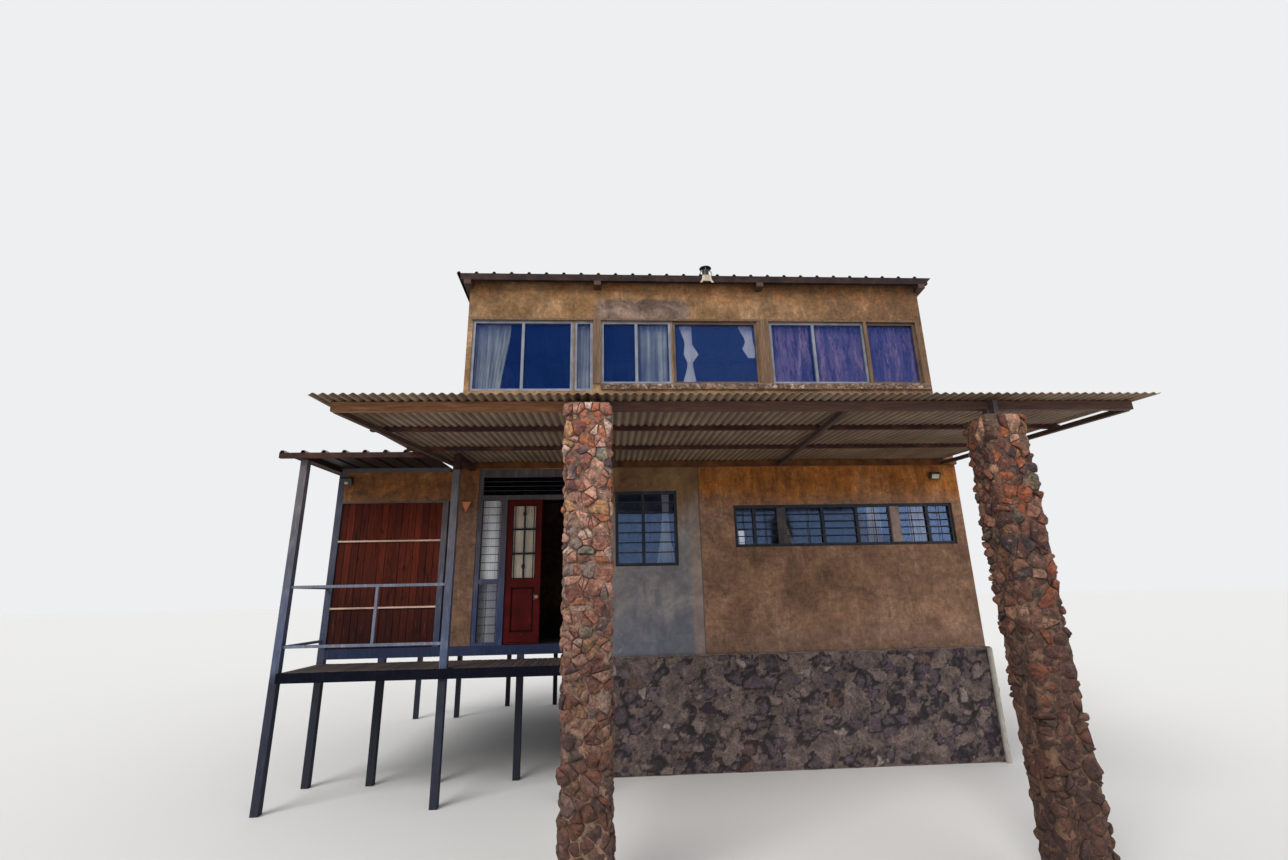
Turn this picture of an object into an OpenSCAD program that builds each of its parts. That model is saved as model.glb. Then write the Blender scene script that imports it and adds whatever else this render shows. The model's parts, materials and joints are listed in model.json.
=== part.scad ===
// Two-storey adobe house on a slope, with a porch, a raised side wing and an open deck.
// X runs along the front, Y runs from the porch to the rear wall, Z is up.
// Working dimensions start at the main block's front left corner on the lowest ground.

/* [Main block] */
// Width of the lower storey
house_w = 6890; // [6500:10:8000]
// Depth of the main block
house_d = 5000; // [4600:50:6000]
// Height of the plaster's lower edge above the lowest ground
plinth_h = 1330; // [1000:10:1800]
// Rise of the ground floor's surface above the plinth
floor_rise = 170; // [150:5:220]
// Thickness of the lower adobe walls
lower_wall_t = 300; // [250:10:350]
// Clear height of the lower storey
lower_storey_h = 2500; // [2460:10:2800]
// Thickness of the upper floor
upper_floor_t = 120; // [80:5:160]
// Width of the upper storey
upper_w = 6753; // [6700:1:6880]
// Thickness of the upper walls
upper_wall_t = 100; // [80:5:150]
// Height of the upper storey at the front, from its floor to the roof sheet
upper_storey_h = 2490; // [2300:10:2800]

/* [Foundation] */
// Distance from the left corner to the start of the stone foundation
stone_x = 1750; // [1700:10:2000]
// Thickness of the rubble foundation
stone_t = 460; // [420:10:600]
// How far the rubble stands out past the plaster
stone_out = 40; // [10:5:80]

/* [Floor frame] */
// Height of the steel channels under the raised part
channel_h = 115; // [80:5:150]
// Width of the steel channels
channel_t = 60; // [40:5:80]
// Thickness of the floor boards over the steel joists
board_t = 40; // [25:5:60]
// Side of the square steel stilts
stilt_w = 80; // [60:5:100]

/* [Door] */
// Distance from the left corner to the steel door frame
door_x = 290; // [250:5:320]
// Width of the frame's outer jambs
jamb_w = 60; // [40:5:80]
// Width of the sidelight's glass
sidelight_w = 250; // [150:5:300]
// Width of the post between sidelight and leaves
post_w = 80; // [50:5:100]
// Width of one door leaf
leaf_w = 446; // [420:2:460]
// Height of the door leaves
leaf_h = 1804; // [1700:2:1900]
// Thickness of the door leaves
leaf_t = 40; // [30:2:50]
// Gap round each door leaf
leaf_gap = 6; // [5:1:10]
// Depth of the steel door frame
door_frame_d = 70; // [60:5:90]
// Height of the transom bar over the leaves
transom_h = 60; // [40:5:80]
// Height of the fanlight over the transom
fanlight_h = 245; // [200:5:280]

/* [Lower windows] */
// Distance from the left corner to the small window
small_x = 2105; // [1900:5:2150]
// Width of the small window
small_w = 830; // [600:10:900]
// Height of the small window
small_h = 990; // [800:10:1100]
// Height of the small window's sill above the floor
small_sill = 925; // [700:5:1100]
// Distance from the right corner to the ribbon window
ribbon_right = 140; // [100:10:200]
// Width of the ribbon window
ribbon_w = 3050; // [2600:10:3050]
// Height of the ribbon window
ribbon_h = 560; // [450:10:700]
// Height of the ribbon window's sill above the floor
ribbon_sill = 1146; // [900:2:1300]
// Distance from the left corner to the joint between grey and ochre plaster
plaster_joint_x = 3242; // [3050:2:3400]

/* [Upper windows] */
// Height of the upper windows' heads above the upper floor
upper_head = 1820; // [1700:10:1900]
// Height of the left windows' sills above the upper floor
sill_low = 730; // [600:10:780]
// Height of the other windows' sills above the upper floor
sill_high = 835; // [790:5:950]
// Width of the mullions and frame bars of the windows
frame_w = 40; // [25:5:50]
// Depth of the window frames
frame_d = 60; // [40:5:80]
// Thickness of the window glass
glass_t = 6; // [4:1:10]

/* [Main roof] */
// Fall of the main roof towards the rear, in degrees
roof_fall = 4; // [2:0.5:6]
// Overhang of the main roof at front and rear
roof_over = 150; // [100:10:400]
// Overhang of the main roof at the sides
roof_side = 170; // [100:10:250]
// Height of the roof purlins and the front fascia
purlin_h = 100; // [60:5:120]
// Height of the main rafters
main_rafter_h = 65; // [50:5:120]
// Spacing of the ribs in the trapezoidal sheet
rib_pitch = 252.5; // [200:0.5:330]
// Height of the ribs in the trapezoidal sheet
rib_h = 28; // [20:1:40]
// Thickness of the roof sheets as solids
sheet_t = 3; // [2:0.5:5]

/* [Porch] */
// Distance from the front wall to the porch roof's front edge
porch_d = 3330; // [3250:10:3600]
// Distance from the left corner to the porch roof's left edge, outwards
porch_left = 314; // [250:2:400]
// Width of the porch roof
porch_w = 7041; // [6950:1:7200]
// Height of the porch roof's front edge above the ground floor
porch_edge = 2115; // [2100:5:2250]
// Rise of the porch roof towards the house, in degrees
porch_rise = 3.5; // [3:0.1:5]
// Pitch of the waves in the corrugated sheet
wave_pitch = 76.2; // [70:0.1:80]
// Depth of the waves in the corrugated sheet
wave_h = 18; // [12:1:22]
// Height of the porch purlins
porch_purlin_h = 38; // [30:2:60]
// Height of the porch rafters
porch_rafter_h = 45; // [35:5:80]
// Width of the porch rafters
porch_rafter_w = 45; // [35:5:60]
// Width of the porch purlins and the front beam
porch_timber_w = 60; // [50:5:80]
// Height of the porch's front beam
porch_beam_h = 80; // [70:5:150]
// Distance of the front beam behind the sheet's front edge
porch_nose = 200; // [150:10:300]

/* [Pillars] */
// Width of the stone pillars
pillar_w = 385; // [340:5:450]
// Depth of the stone pillars
pillar_d = 370; // [340:10:420]
// How far the pillars stand out past the sheet's front edge
pillar_out = 40; // [20:5:80]
// Distance from the left corner to the middle pillar
pillar_mid_x = 1672; // [1500:2:1900]
// Distance from the left corner to the right pillar
pillar_right_x = 5100; // [4900:2:5400]

/* [Wing] */
// Width of the side wing
wing_w = 1530; // [1400:10:1800]
// Depth of the side wing
wing_d = 4000; // [3000:50:4500]
// Thickness of the wing's walls
wing_wall_t = 120; // [80:5:200]
// Height of the wing roof's front edge above the ground floor
wing_edge = 2230; // [2200:2:2240]
// Rise of the wing roof towards the rear, in degrees
wing_rise = 1.6; // [1:0.1:4]
// Spacing of the ribs in the wing's sheet
wing_rib_pitch = 233; // [200:1:330]

/* [Deck] */
// Depth of the deck in front of the wing and the door
deck_d = 927; // [800:1:1200]
// Distance from the left corner to the deck's right end
deck_right = 1600; // [1400:10:1640]
// Drop of the deck's surface below the ground floor
deck_drop = 160; // [150:2:200]
// Height of the railing's top bar above the deck
rail_top = 871; // [800:1:1000]
// Height of the railing's lower bar above the deck
rail_low = 243; // [150:1:300]

/* [Hidden] */

ochre = [0.68, 0.50, 0.30];
cement = [0.62, 0.58, 0.52];
stone = [0.62, 0.42, 0.33];
steel_blue = [0.36, 0.42, 0.50];
rust = [0.36, 0.22, 0.17];
zinc = [0.60, 0.60, 0.58];
timber = [0.42, 0.27, 0.17];
red_wood = [0.45, 0.13, 0.09];

// Heights of the floors and wall tops
floor_z = plinth_h + floor_rise;
lower_top = floor_z + lower_storey_h;
upper_z = lower_top + upper_floor_t;
sheet_front_z = upper_z + upper_storey_h;
roof_slope = tan(roof_fall);
porch_slope = tan(porch_rise);
wing_slope = tan(wing_rise);
deck_z = floor_z - deck_drop;
channel_z = floor_z - channel_h;

// Heights of the three roof planes at a distance y behind the front wall
function roof_z(y) = sheet_front_z - (y + roof_over) * roof_slope;
function porch_z(y) = floor_z + porch_edge + (y + porch_d) * porch_slope;
function wing_z(y) = floor_z + wing_edge + (y + wing_front) * wing_slope;

// Clearance under the sloping sheets and under the purlins, so that no sloping face cuts what it rests on
seat = 0.1;

// Front edge of the wing roof, measured out from the front wall
wing_front = deck_d + 73;
wing_over = 250;
wing_roof_gap = 100;
wing_beam_h = 60;
wing_eave = 100;

// Places along the door frame
leaf_x = door_x + jamb_w + sidelight_w + post_w;
leaf_bay = 2 * leaf_w + 3 * leaf_gap;
door_right = leaf_x + leaf_bay + jamb_w;
leaf_z = floor_z + leaf_gap + 2;
transom_z = leaf_z + leaf_h + leaf_gap;
fanlight_z = transom_z + transom_h;
header_h = 110;
header_z = fanlight_z + fanlight_h;
door_frame_y = 10;
leaf_y = door_frame_y + door_frame_d - leaf_t - 5;
pin_r = 8;
pin_y = door_frame_y + door_frame_d + pin_r + 2;
knuckle_h = 30;
hinge_heights = [0.12, 0.5, 0.88];
sidelight_bar_z = floor_z + 738;
sidelight_foot = 30;

// Upper window row: start, end and sill of each opening
row_gap = 20;
last_window_w = 775;
last_window_x = upper_w - 108 - last_window_w;
upper_row = [
    [70, 1515, sill_low],
    [1530, 1800, sill_low],
    [1915, 2940, sill_high],
    [2960, 4225, sill_high],
    [4404, last_window_x - row_gap, sill_high],
    [last_window_x, last_window_x + last_window_w, sill_high]
];
upper_mullions = [[0.5], [], [0.5], [], [0.46], []];
slider_w = 1445;
window_y = 20;

// Bays of the ribbon window, measured from its left edge
ribbon_x = house_w - ribbon_right - ribbon_w;
ribbon_bays = [[590, 710], [2165, 2290]];
ribbon_mullions = [280, 1225, 1700, 2695];

// Centre of the whole part's footprint, which becomes the origin
x_low = -wing_w - wing_over;
porch_right = porch_w - porch_left;
x_high = max(house_w + stone_out, upper_w + roof_side, porch_right);
y_low = -porch_d - pillar_out;
y_high = house_d + roof_over;
centre = [(x_low + x_high) / 2, (y_low + y_high) / 2, 0];

module placed() {
    translate(-centre) children();
}

// A box between two corners
module block(a, b) {
    translate(a) cube(b - a);
}

// A bar whose top follows a slope along Y between y0 and y1, drawn from x0 to x1
module sloped_bar(x0, x1, y0, y1, z0, z1, h) {
    translate([x0, 0, 0]) rotate([90, 0, 90]) linear_extrude(x1 - x0)
        polygon([[y0, z0 - h], [y1, z1 - h], [y1, z1], [y0, z0]]);
}

// A rectangular frame with glazing bars; sizes along X, Y and Z, bars at given places
module window_frame(w, d, h, mullions, bar) {
    difference() {
        cube([w, d, h]);
        translate([bar, -1, bar]) cube([w - 2 * bar, d + 2, h - 2 * bar]);
    }
    for (m = mullions)
        translate([m - bar / 2, 0, bar]) cube([bar, d, h - 2 * bar]);
}

// Glass panes between the bars of a window frame
module window_panes(w, d, h, mullions, bar) {
    edges = concat([0], mullions, [w]);
    n = len(edges);
    for (i = [0:n - 2]) {
        x0 = edges[i] + (i == 0 ? bar : bar / 2);
        x1 = edges[i + 1] - (i == n - 2 ? bar : bar / 2);
        translate([x0, (d - glass_t) / 2, bar]) cube([x1 - x0, glass_t, h - 2 * bar]);
    }
}

// Wave outline of the corrugated sheet, one point each eighth of a wave
function wave(x) = wave_h / 2 * (1 - cos(360 * x / wave_pitch));
module corrugated_sheet(w, l) {
    steps = floor(w / (wave_pitch / 8));
    xs = [for (i = [0:steps]) i * wave_pitch / 8];
    rotate([90, 0, 0]) mirror([0, 0, 1]) linear_extrude(l)
        polygon(concat(
            [for (x = xs) [x, wave(x) + sheet_t]],
            [for (i = [steps:-1:0]) [xs[i], wave(xs[i])]]));
}

// Trapezoidal ribs: flat pans between narrow raised ribs
rib_top = 26;
rib_base = 60;
function rib_points(n, pitch, lift) = [for (i = [0:n - 1]) each [
    [i * pitch, lift],
    [i * pitch + (rib_base - rib_top) / 2, rib_h + lift],
    [i * pitch + (rib_base + rib_top) / 2, rib_h + lift],
    [i * pitch + rib_base, lift]
]];
function reversed(p) = [for (i = [len(p) - 1:-1:0]) p[i]];
module ribbed_sheet(w, l, pitch) {
    n = floor((w - rib_base) / pitch) + 1;
    top = concat(rib_points(n, pitch, sheet_t), [[w, sheet_t]]);
    bottom = concat(rib_points(n, pitch, 0), [[w, 0]]);
    rotate([90, 0, 0]) mirror([0, 0, 1]) linear_extrude(l)
        polygon(concat(top, reversed(bottom)));
}

module stone_foundation() {
    x1 = house_w + stone_out;
    y0 = -stone_out;
    y1 = house_d + stone_out;
    color(stone) placed() difference() {
        block([stone_x, y0, 0], [x1, y1, plinth_h]);
        block([stone_x + stone_t, y0 + stone_t, -1], [x1 - stone_t, y1 - stone_t, plinth_h + 1]);
    }
}

// Short drain pipe at the front right corner of the foundation
module drain_pipe() {
    r = 32;
    bore_r = 27;
    color(zinc) placed() translate([house_w, -stone_out - r, 0]) difference() {
        cylinder(r = r, h = plinth_h - 10, $fn = 40);
        translate([0, 0, -1]) cylinder(r = bore_r, h = plinth_h, $fn = 40);
    }
}

module floor_frame() {
    joist_top = floor_z - board_t;
    joist_pitch = (house_d - 2 * channel_t) / 8;
    color(steel_blue) placed() {
        // Channel along the front and rear of the raised part
        block([-wing_w + stilt_w, 0, channel_z], [stone_x, channel_t, floor_z]);
        block([0, house_d - channel_t, channel_z], [stone_x, house_d, floor_z]);
        // Channels along the sides
        block([-wing_w, stilt_w, channel_z], [-wing_w + channel_t, wing_d, floor_z]);
        block([-channel_t, channel_t, channel_z], [0, house_d, floor_z]);
        block([-wing_w, wing_d - channel_t, channel_z], [0, wing_d, floor_z]);
        // Joists
        for (i = [1:7]) {
            y = channel_t + i * joist_pitch;
            block([-channel_t, y, channel_z], [stone_x, y + channel_t, joist_top]);
            if (y + 2 * channel_t < wing_d)
                block([-wing_w, y, channel_z], [0, y + channel_t, joist_top]);
        }
    }
}

module floor_stilts() {
    xs_wing = [-wing_w, -wing_w / 2 - stilt_w / 2];
    xs_main = [-channel_t, stone_x / 2];
    color(steel_blue) placed() {
        // The wing's front corner post runs up to its roof beam
        block([-wing_w, 0, 0], [-wing_w + stilt_w, stilt_w, wing_z(0) - seat - wing_beam_h]);
        block([xs_wing[1], 0, 0], [xs_wing[1] + stilt_w, stilt_w, channel_z]);
        for (x = xs_wing)
            block([x, wing_d - stilt_w, 0], [x + stilt_w, wing_d, channel_z]);
        for (x = xs_main) {
            block([x, 0, 0], [x + stilt_w, stilt_w, channel_z]);
            block([x, house_d - stilt_w, 0], [x + stilt_w, house_d, channel_z]);
        }
    }
}

module ground_floor() {
    color(timber) placed() {
        // Slab over the stone foundation
        block([stone_x, lower_wall_t, plinth_h],
              [house_w - lower_wall_t, house_d - lower_wall_t, floor_z]);
        // Boards over the joists of the raised part
        block([0, channel_t, floor_z - board_t], [stone_x, house_d - channel_t, floor_z]);
        difference() {
            block([-wing_w + channel_t, channel_t, floor_z - board_t],
                  [-channel_t, wing_d - channel_t, floor_z]);
            block([-wing_w, 0, 0], [-wing_w + stilt_w, stilt_w, lower_top]);
        }
    }
}

module front_wall_right() {
    color(ochre) placed() difference() {
        block([plaster_joint_x, 0, plinth_h], [house_w, lower_wall_t, lower_top]);
        block([ribbon_x, -1, floor_z + ribbon_sill],
              [ribbon_x + ribbon_w, lower_wall_t + 1, floor_z + ribbon_sill + ribbon_h]);
    }
}

module front_wall_middle() {
    color(cement) placed() difference() {
        union() {
            block([door_right, 0, floor_z], [plaster_joint_x, lower_wall_t, lower_top]);
            block([stone_x, 0, plinth_h], [plaster_joint_x, lower_wall_t, floor_z]);
        }
        block([small_x, -1, floor_z + small_sill],
              [small_x + small_w, lower_wall_t + 1, floor_z + small_sill + small_h]);
    }
}

module door_pier() {
    color(ochre) placed()
        block([0, 0, floor_z], [door_x, lower_wall_t, lower_top]);
}

module wall_over_door() {
    color(ochre) placed()
        block([door_x, 0, header_z + header_h], [door_right, lower_wall_t, lower_top]);
}

module lower_left_wall() {
    color(ochre) placed()
        block([0, lower_wall_t, floor_z], [lower_wall_t, house_d - lower_wall_t, lower_top]);
}

// Side and rear windows repeat the small barred one
side_small_y = house_d / 2 - small_w / 2;
back_small_inset = 2690;
back_small_x = house_w - back_small_inset;

module lower_right_wall() {
    x0 = house_w - lower_wall_t;
    color(ochre) placed() difference() {
        block([x0, lower_wall_t, plinth_h], [house_w, house_d - lower_wall_t, lower_top]);
        block([x0 - 1, side_small_y, floor_z + small_sill],
              [house_w + 1, side_small_y + small_w, floor_z + small_sill + small_h]);
    }
}

module lower_back_wall() {
    y0 = house_d - lower_wall_t;
    color(ochre) placed() difference() {
        union() {
            block([0, y0, floor_z], [house_w, house_d, lower_top]);
            block([stone_x, y0, plinth_h], [house_w, house_d, floor_z]);
        }
        block([back_small_x, y0 - 1, floor_z + small_sill],
              [back_small_x + small_w, house_d + 1, floor_z + small_sill + small_h]);
    }
}

module upper_floor() {
    t = upper_wall_t;
    color(timber) placed()
        block([t, t, lower_top], [upper_w - t, house_d - t, upper_z]);
}

// Places of the main rafters' left faces
main_rafter_w = 100;
rafter_out = 60;
rafter_xs = [-rafter_out, 1815, 4230, upper_w + rafter_out - main_rafter_w];
function rafter_top(y) = roof_z(y) - 2 * seat - purlin_h;

// Rows of roof purlins; the first is the front fascia. The sheet's sides stand out past them
purlin_t = 50;
sheet_side = 60;
purlin_gaps = 4;
function purlin_y(i) = -roof_over + i * (house_d + 2 * roof_over - purlin_t) / purlin_gaps;

module rafter_bars(reach) {
    y0 = -roof_over - reach;
    y1 = house_d + roof_over + reach;
    for (x = rafter_xs)
        sloped_bar(x, x + main_rafter_w, y0, y1, rafter_top(y0), rafter_top(y1), main_rafter_h);
}

module purlin_bars(reach) {
    side = roof_side - sheet_side + reach;
    for (i = [0:purlin_gaps]) {
        y = purlin_y(i);
        sloped_bar(-side, upper_w + side, y, y + purlin_t,
                   roof_z(y) - seat, roof_z(y + purlin_t) - seat, purlin_h);
    }
}

// The upper walls reach the roof sheet and are notched over the rafters and purlins
module roof_notches() {
    rafter_bars(1);
    purlin_bars(1);
}

module upper_front_wall() {
    color(ochre) placed() difference() {
        rotate([90, 0, 90]) linear_extrude(upper_w)
            polygon([
                [0, lower_top],
                [upper_wall_t, lower_top],
                [upper_wall_t, roof_z(upper_wall_t) - seat],
                [0, roof_z(0) - seat]
            ]);
        for (r = upper_row)
            block([r[0], -1, upper_z + r[2]], [r[1], upper_wall_t + 1, upper_z + upper_head]);
        roof_notches();
    }
}

side_slider_y = 1500;
back_slider_xs = [900, 4300];
back_head = 1750;

module upper_side_walls() {
    color(ochre) placed() difference() {
        for (x = [0, upper_w - upper_wall_t])
            translate([x, 0, 0]) rotate([90, 0, 90]) linear_extrude(upper_wall_t)
                polygon([
                    [upper_wall_t, lower_top],
                    [house_d - upper_wall_t, lower_top],
                    [house_d - upper_wall_t, roof_z(house_d - upper_wall_t) - seat],
                    [upper_wall_t, roof_z(upper_wall_t) - seat]
                ]);
        block([upper_w - upper_wall_t - 1, side_slider_y, upper_z + sill_high],
              [upper_w + 1, side_slider_y + slider_w, upper_z + upper_head]);
        roof_notches();
    }
}

module upper_back_wall() {
    y0 = house_d - upper_wall_t;
    color(ochre) placed() difference() {
        rotate([90, 0, 90]) linear_extrude(upper_w)
            polygon([
                [y0, lower_top],
                [house_d, lower_top],
                [house_d, roof_z(house_d) - seat],
                [y0, roof_z(y0) - seat]
            ]);
        for (x = back_slider_xs)
            block([x, y0 - 1, upper_z + sill_high], [x + slider_w, house_d + 1, upper_z + back_head]);
        roof_notches();
    }
}

// Dark timber boards round the upper windows, on the wall's face
trim_t = 15;
trim_h = 30;
module window_trim() {
    head = upper_z + upper_head;
    low = upper_z + sill_high;
    last = upper_row[5];
    // Left and right edge of the boards that cover the wall between the windows
    posts = [
        [upper_row[1][1], upper_row[2][0]],
        [upper_row[3][1] + 12, upper_row[4][0] - 8],
        [last[0] - row_gap - 12, last[0] + 12],
        [last[1], last[1] + 60]
    ];
    color(timber) placed() {
        for (p = posts)
            block([p[0], -trim_t, low], [p[1], 0, head]);
        block([upper_row[0][0] - 20, -trim_t, head], [last[1] + 60, 0, head + trim_h]);
    }
}

// Plaster ledge under the right windows
ledge_h = 90;
ledge_t = 25;
module window_ledge() {
    top = upper_z + sill_high;
    color(ochre) placed()
        block([upper_row[2][0], -ledge_t, top - ledge_h], [upper_w - 30, 0, top - seat]);
}

module main_roof() {
    w = upper_w + 2 * roof_side;
    l = (house_d + 2 * roof_over) / cos(roof_fall);
    color(zinc) placed()
        translate([-roof_side, -roof_over, sheet_front_z]) rotate([-roof_fall, 0, 0])
            ribbed_sheet(w, l, rib_pitch);
}

module roof_purlins() {
    color(rust) placed() purlin_bars(0);
}

module roof_rafters() {
    color(timber) placed() rafter_bars(0);
}

module roof_flue() {
    // The flue stands in a flat pan between two ribs, and its foot follows the sheet
    r = 50;
    h = 170;
    cap_r = 90;
    cap_h = 30;
    pan = 14;
    x = -roof_side + pan * rib_pitch + rib_base + 60;
    y = -70;
    foot = sheet_t / cos(roof_fall) + seat;
    color(zinc) placed() {
        intersection() {
            translate([x, y, roof_z(y) - r]) cylinder(r = r, h = r + h, $fn = 48);
            sloped_bar(x - cap_r, x + cap_r, y - cap_r, y + cap_r,
                       roof_z(y - cap_r) + foot + 2 * h, roof_z(y + cap_r) + foot + 2 * h, 2 * h);
        }
        translate([x, y, roof_z(y) + h]) cylinder(r = cap_r, h = cap_h, $fn = 48);
    }
}

module porch_roof() {
    l = porch_d / cos(porch_rise);
    color(zinc) placed()
        translate([-porch_left, -porch_d, porch_z(-porch_d)]) rotate([porch_rise, 0, 0])
            corrugated_sheet(porch_w, l);
}

// Front beam of the porch
beam_y = -porch_d + porch_nose;
beam_top = porch_z(beam_y) - seat;
beam_left = 228;
beam_end = 85;

module porch_beam() {
    color(timber) placed()
        sloped_bar(-beam_left, porch_right - beam_end, beam_y, beam_y + porch_timber_w,
                   beam_top, porch_z(beam_y + porch_timber_w) - seat, porch_beam_h);
}

// Purlins divide the roof from the beam to the wall into three bays
purlin_ys = [0.7 * beam_y, 0.37 * beam_y];
module porch_purlins() {
    color(rust) placed()
        for (y = purlin_ys)
            sloped_bar(-porch_left + 25, porch_right - sheet_t, y, y + porch_timber_w,
                       porch_z(y) - seat, porch_z(y + porch_timber_w) - seat, porch_purlin_h);
}

function porch_rafter_top(y) = porch_z(y) - 2 * seat - porch_purlin_h;
porch_rafter_xs = [-beam_left, 1850, 4060, porch_right - 110];
rafter_drifts = [245, 245, 290, 50];
ledger_t = 60;
ledger_h = 80;

// Rafters run slightly towards the right as they go back to the wall
module porch_rafters() {
    y0 = beam_y + porch_timber_w;
    y1 = -ledger_t;
    w = porch_rafter_w;
    l = -y0;
    color(timber) placed()
        for (i = [0:3]) {
            x = porch_rafter_xs[i];
            turn = atan2(rafter_drifts[i], l);
            intersection() {
                translate([x + w / 2, y0, 0]) rotate([0, 0, -turn])
                    translate([-w / 2, -l, 0]) cube([w, 3 * l, lower_top]);
                sloped_bar(x - l, x + l, y0, y1, porch_rafter_top(y0), porch_rafter_top(y1), porch_rafter_h);
            }
        }
}

// The ledger carries the sheet's rear edge, and the rafters butt against it
module porch_ledger() {
    color(rust) placed()
        sloped_bar(10, house_w, -ledger_t, 0, porch_z(-ledger_t) - seat, porch_z(0) - seat, ledger_h);
}

// Stone pillars stand in front of and under the front beam
beam_foot = beam_top - porch_beam_h;
pillar_y = -porch_d - pillar_out;

module stone_pillar(x, top) {
    block([x, pillar_y, 0], [x + pillar_w, pillar_y + pillar_d, top]);
}

module pillar_middle() {
    // Its top is notched under the rafter that starts over it
    rafter = porch_rafter_top(beam_y) - porch_rafter_h - 2;
    y0 = beam_y + porch_timber_w;
    color(stone) placed() difference() {
        stone_pillar(pillar_mid_x, beam_foot);
        block([porch_rafter_xs[1] - 20, y0, rafter], [porch_rafter_xs[1] + 90, 0, lower_top]);
    }
}

right_pillar_drop = 105;
module pillar_right() {
    color(stone) placed() stone_pillar(pillar_right_x, beam_foot - right_pillar_drop);
}

stub_w = 40;
seat_w = 90;

// Upright steel stub between a pillar's top and the sheet, in front of the beam
module bracket_stub(x, z) {
    y = beam_y - stub_w;
    block([x, y, z], [x + stub_w, beam_y, porch_z(y) - seat]);
}

module pillar_brackets() {
    low = beam_foot - right_pillar_drop;
    x = pillar_right_x + 235;
    color(steel_blue) placed() {
        bracket_stub(pillar_mid_x + 200, beam_foot);
        bracket_stub(x, low);
        // Seat under the beam on the lower right pillar
        block([x - stub_w, beam_y, low], [x - stub_w + seat_w, beam_y + porch_timber_w, beam_foot]);
    }
}

module wing_roof() {
    l = (wing_front + wing_d + wing_eave) / cos(wing_rise);
    color(zinc) placed()
        translate([-wing_w - wing_over, -wing_front, wing_z(-wing_front)]) rotate([wing_rise, 0, 0])
            ribbed_sheet(wing_w + wing_over - wing_roof_gap, l, wing_rib_pitch);
}

// A bar right under the wing's sheet
module wing_bar(x0, x1, y0, y1) {
    sloped_bar(x0, x1, y0, y1, wing_z(y0) - seat, wing_z(y1) - seat, wing_beam_h);
}

module wing_roof_beams() {
    x0 = -wing_w - wing_over;
    x1 = -wing_roof_gap;
    t = 50;
    // The front purlin ends at the left side of the porch's first rafter
    reach = 1 + wing_front / (beam_y + porch_timber_w);
    side = porch_rafter_xs[0] + rafter_drifts[0] * reach;
    y_post = -deck_d + 40;
    right = deck_post_xs[1];
    color(rust) placed() {
        wing_bar(x0, side - 1, -wing_front, -wing_front + t);
        // Side beam over the left post
        wing_bar(deck_post_xs[0], deck_post_xs[0] + stilt_w, -wing_front + t, 0);
        // Side beam from the right post to the porch's ledger, with a block on the post
        wing_bar(right, right + stilt_w, y_post, -ledger_t);
        block([right, y_post, right_post_top],
              [right + stilt_w, y_post + stilt_w, wing_z(y_post) - seat - wing_beam_h]);
        // Rear purlin
        wing_bar(x0, x1, wing_d, wing_d + t);
    }
}

// Steel beam over the wing's front wall
module wing_wall_beam() {
    color(steel_blue) placed()
        wing_bar(-wing_w, -wing_roof_gap, 0, stilt_w);
}

// The boarded panel's opening in the wing's front wall
panel_w = 1290;
panel_h = 1790;
panel_x = -wing_w + stilt_w;
panel_post_w = 70;

module wing_walls() {
    t = wing_wall_t;
    x0 = -wing_w;
    head = floor_z + panel_h + 20;
    band_top = wing_z(0) - seat - wing_beam_h;
    color(ochre) placed() {
        // Band over the boarded panel
        block([panel_x, 0, head], [0, t, band_top]);
        // Left wall and rear wall
        translate([x0, 0, 0]) rotate([90, 0, 90]) linear_extrude(t)
            polygon([[t, floor_z], [wing_d, floor_z], [wing_d, wing_z(wing_d) - seat], [t, wing_z(t) - seat]]);
        translate([x0 + t, 0, 0]) rotate([90, 0, 90]) linear_extrude(wing_w - t)
            polygon([
                [wing_d - t, floor_z],
                [wing_d, floor_z],
                [wing_d, wing_z(wing_d) - seat],
                [wing_d - t, wing_z(wing_d - t) - seat]
            ]);
    }
}

module boarded_panel() {
    color(red_wood) placed()
        block([panel_x, 20, floor_z], [panel_x + panel_w, 60, floor_z + panel_h]);
}

bar_heights = [467, 1290];
module panel_frame() {
    x1 = panel_x + panel_w;
    bar = 20;
    color(steel_blue) placed() {
        block([x1, 0, floor_z], [x1 + panel_post_w, 80, floor_z + panel_h + bar]);
        block([panel_x, 0, floor_z + panel_h], [x1, 80, floor_z + panel_h + bar]);
        for (h = bar_heights)
            block([panel_x, 0, floor_z + h], [x1, bar, floor_z + h + bar]);
    }
}

deck_post_xs = [-wing_w - 55, 176];
right_post_top = floor_z + 2040;
module deck_posts() {
    y0 = -deck_d + 40;
    tops = [wing_z(y0) - seat - wing_beam_h, right_post_top];
    color(steel_blue) placed() {
        for (i = [0:1]) {
            x = deck_post_xs[i];
            block([x, y0, 0], [x + stilt_w, y0 + stilt_w, tops[i]]);
        }
        block([deck_right - stilt_w, y0, 0], [deck_right, y0 + stilt_w, deck_z - deck_board_t]);
    }
}

deck_board_t = 40;
deck_beam_h = 100;
module deck_frame() {
    x0 = deck_post_xs[0] + stilt_w;
    color(steel_blue) placed() {
        // Front channel, which passes in front of the right post
        block([x0, -deck_d, deck_z - deck_beam_h], [deck_right, -deck_d + 40, deck_z]);
        // Rear channel against the stilts and cross bars
        block([x0, -60, deck_z - deck_beam_h], [deck_right, 0, deck_z - deck_board_t]);
        for (x = [x0, -wing_w / 2, deck_post_xs[1] + stilt_w, deck_right - stilt_w - 50])
            block([x, -deck_d + 40, deck_z - deck_beam_h], [x + 50, -60, deck_z - deck_board_t]);
    }
}

module deck_boards() {
    post = deck_post_xs[1];
    y0 = -deck_d + 40;
    color(timber) placed() difference() {
        block([deck_post_xs[0] + stilt_w, y0, deck_z - deck_board_t], [deck_right, -1, deck_z]);
        block([post, y0 - 1, 0], [post + stilt_w, y0 + stilt_w, deck_z + 1]);
    }
}

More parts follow.
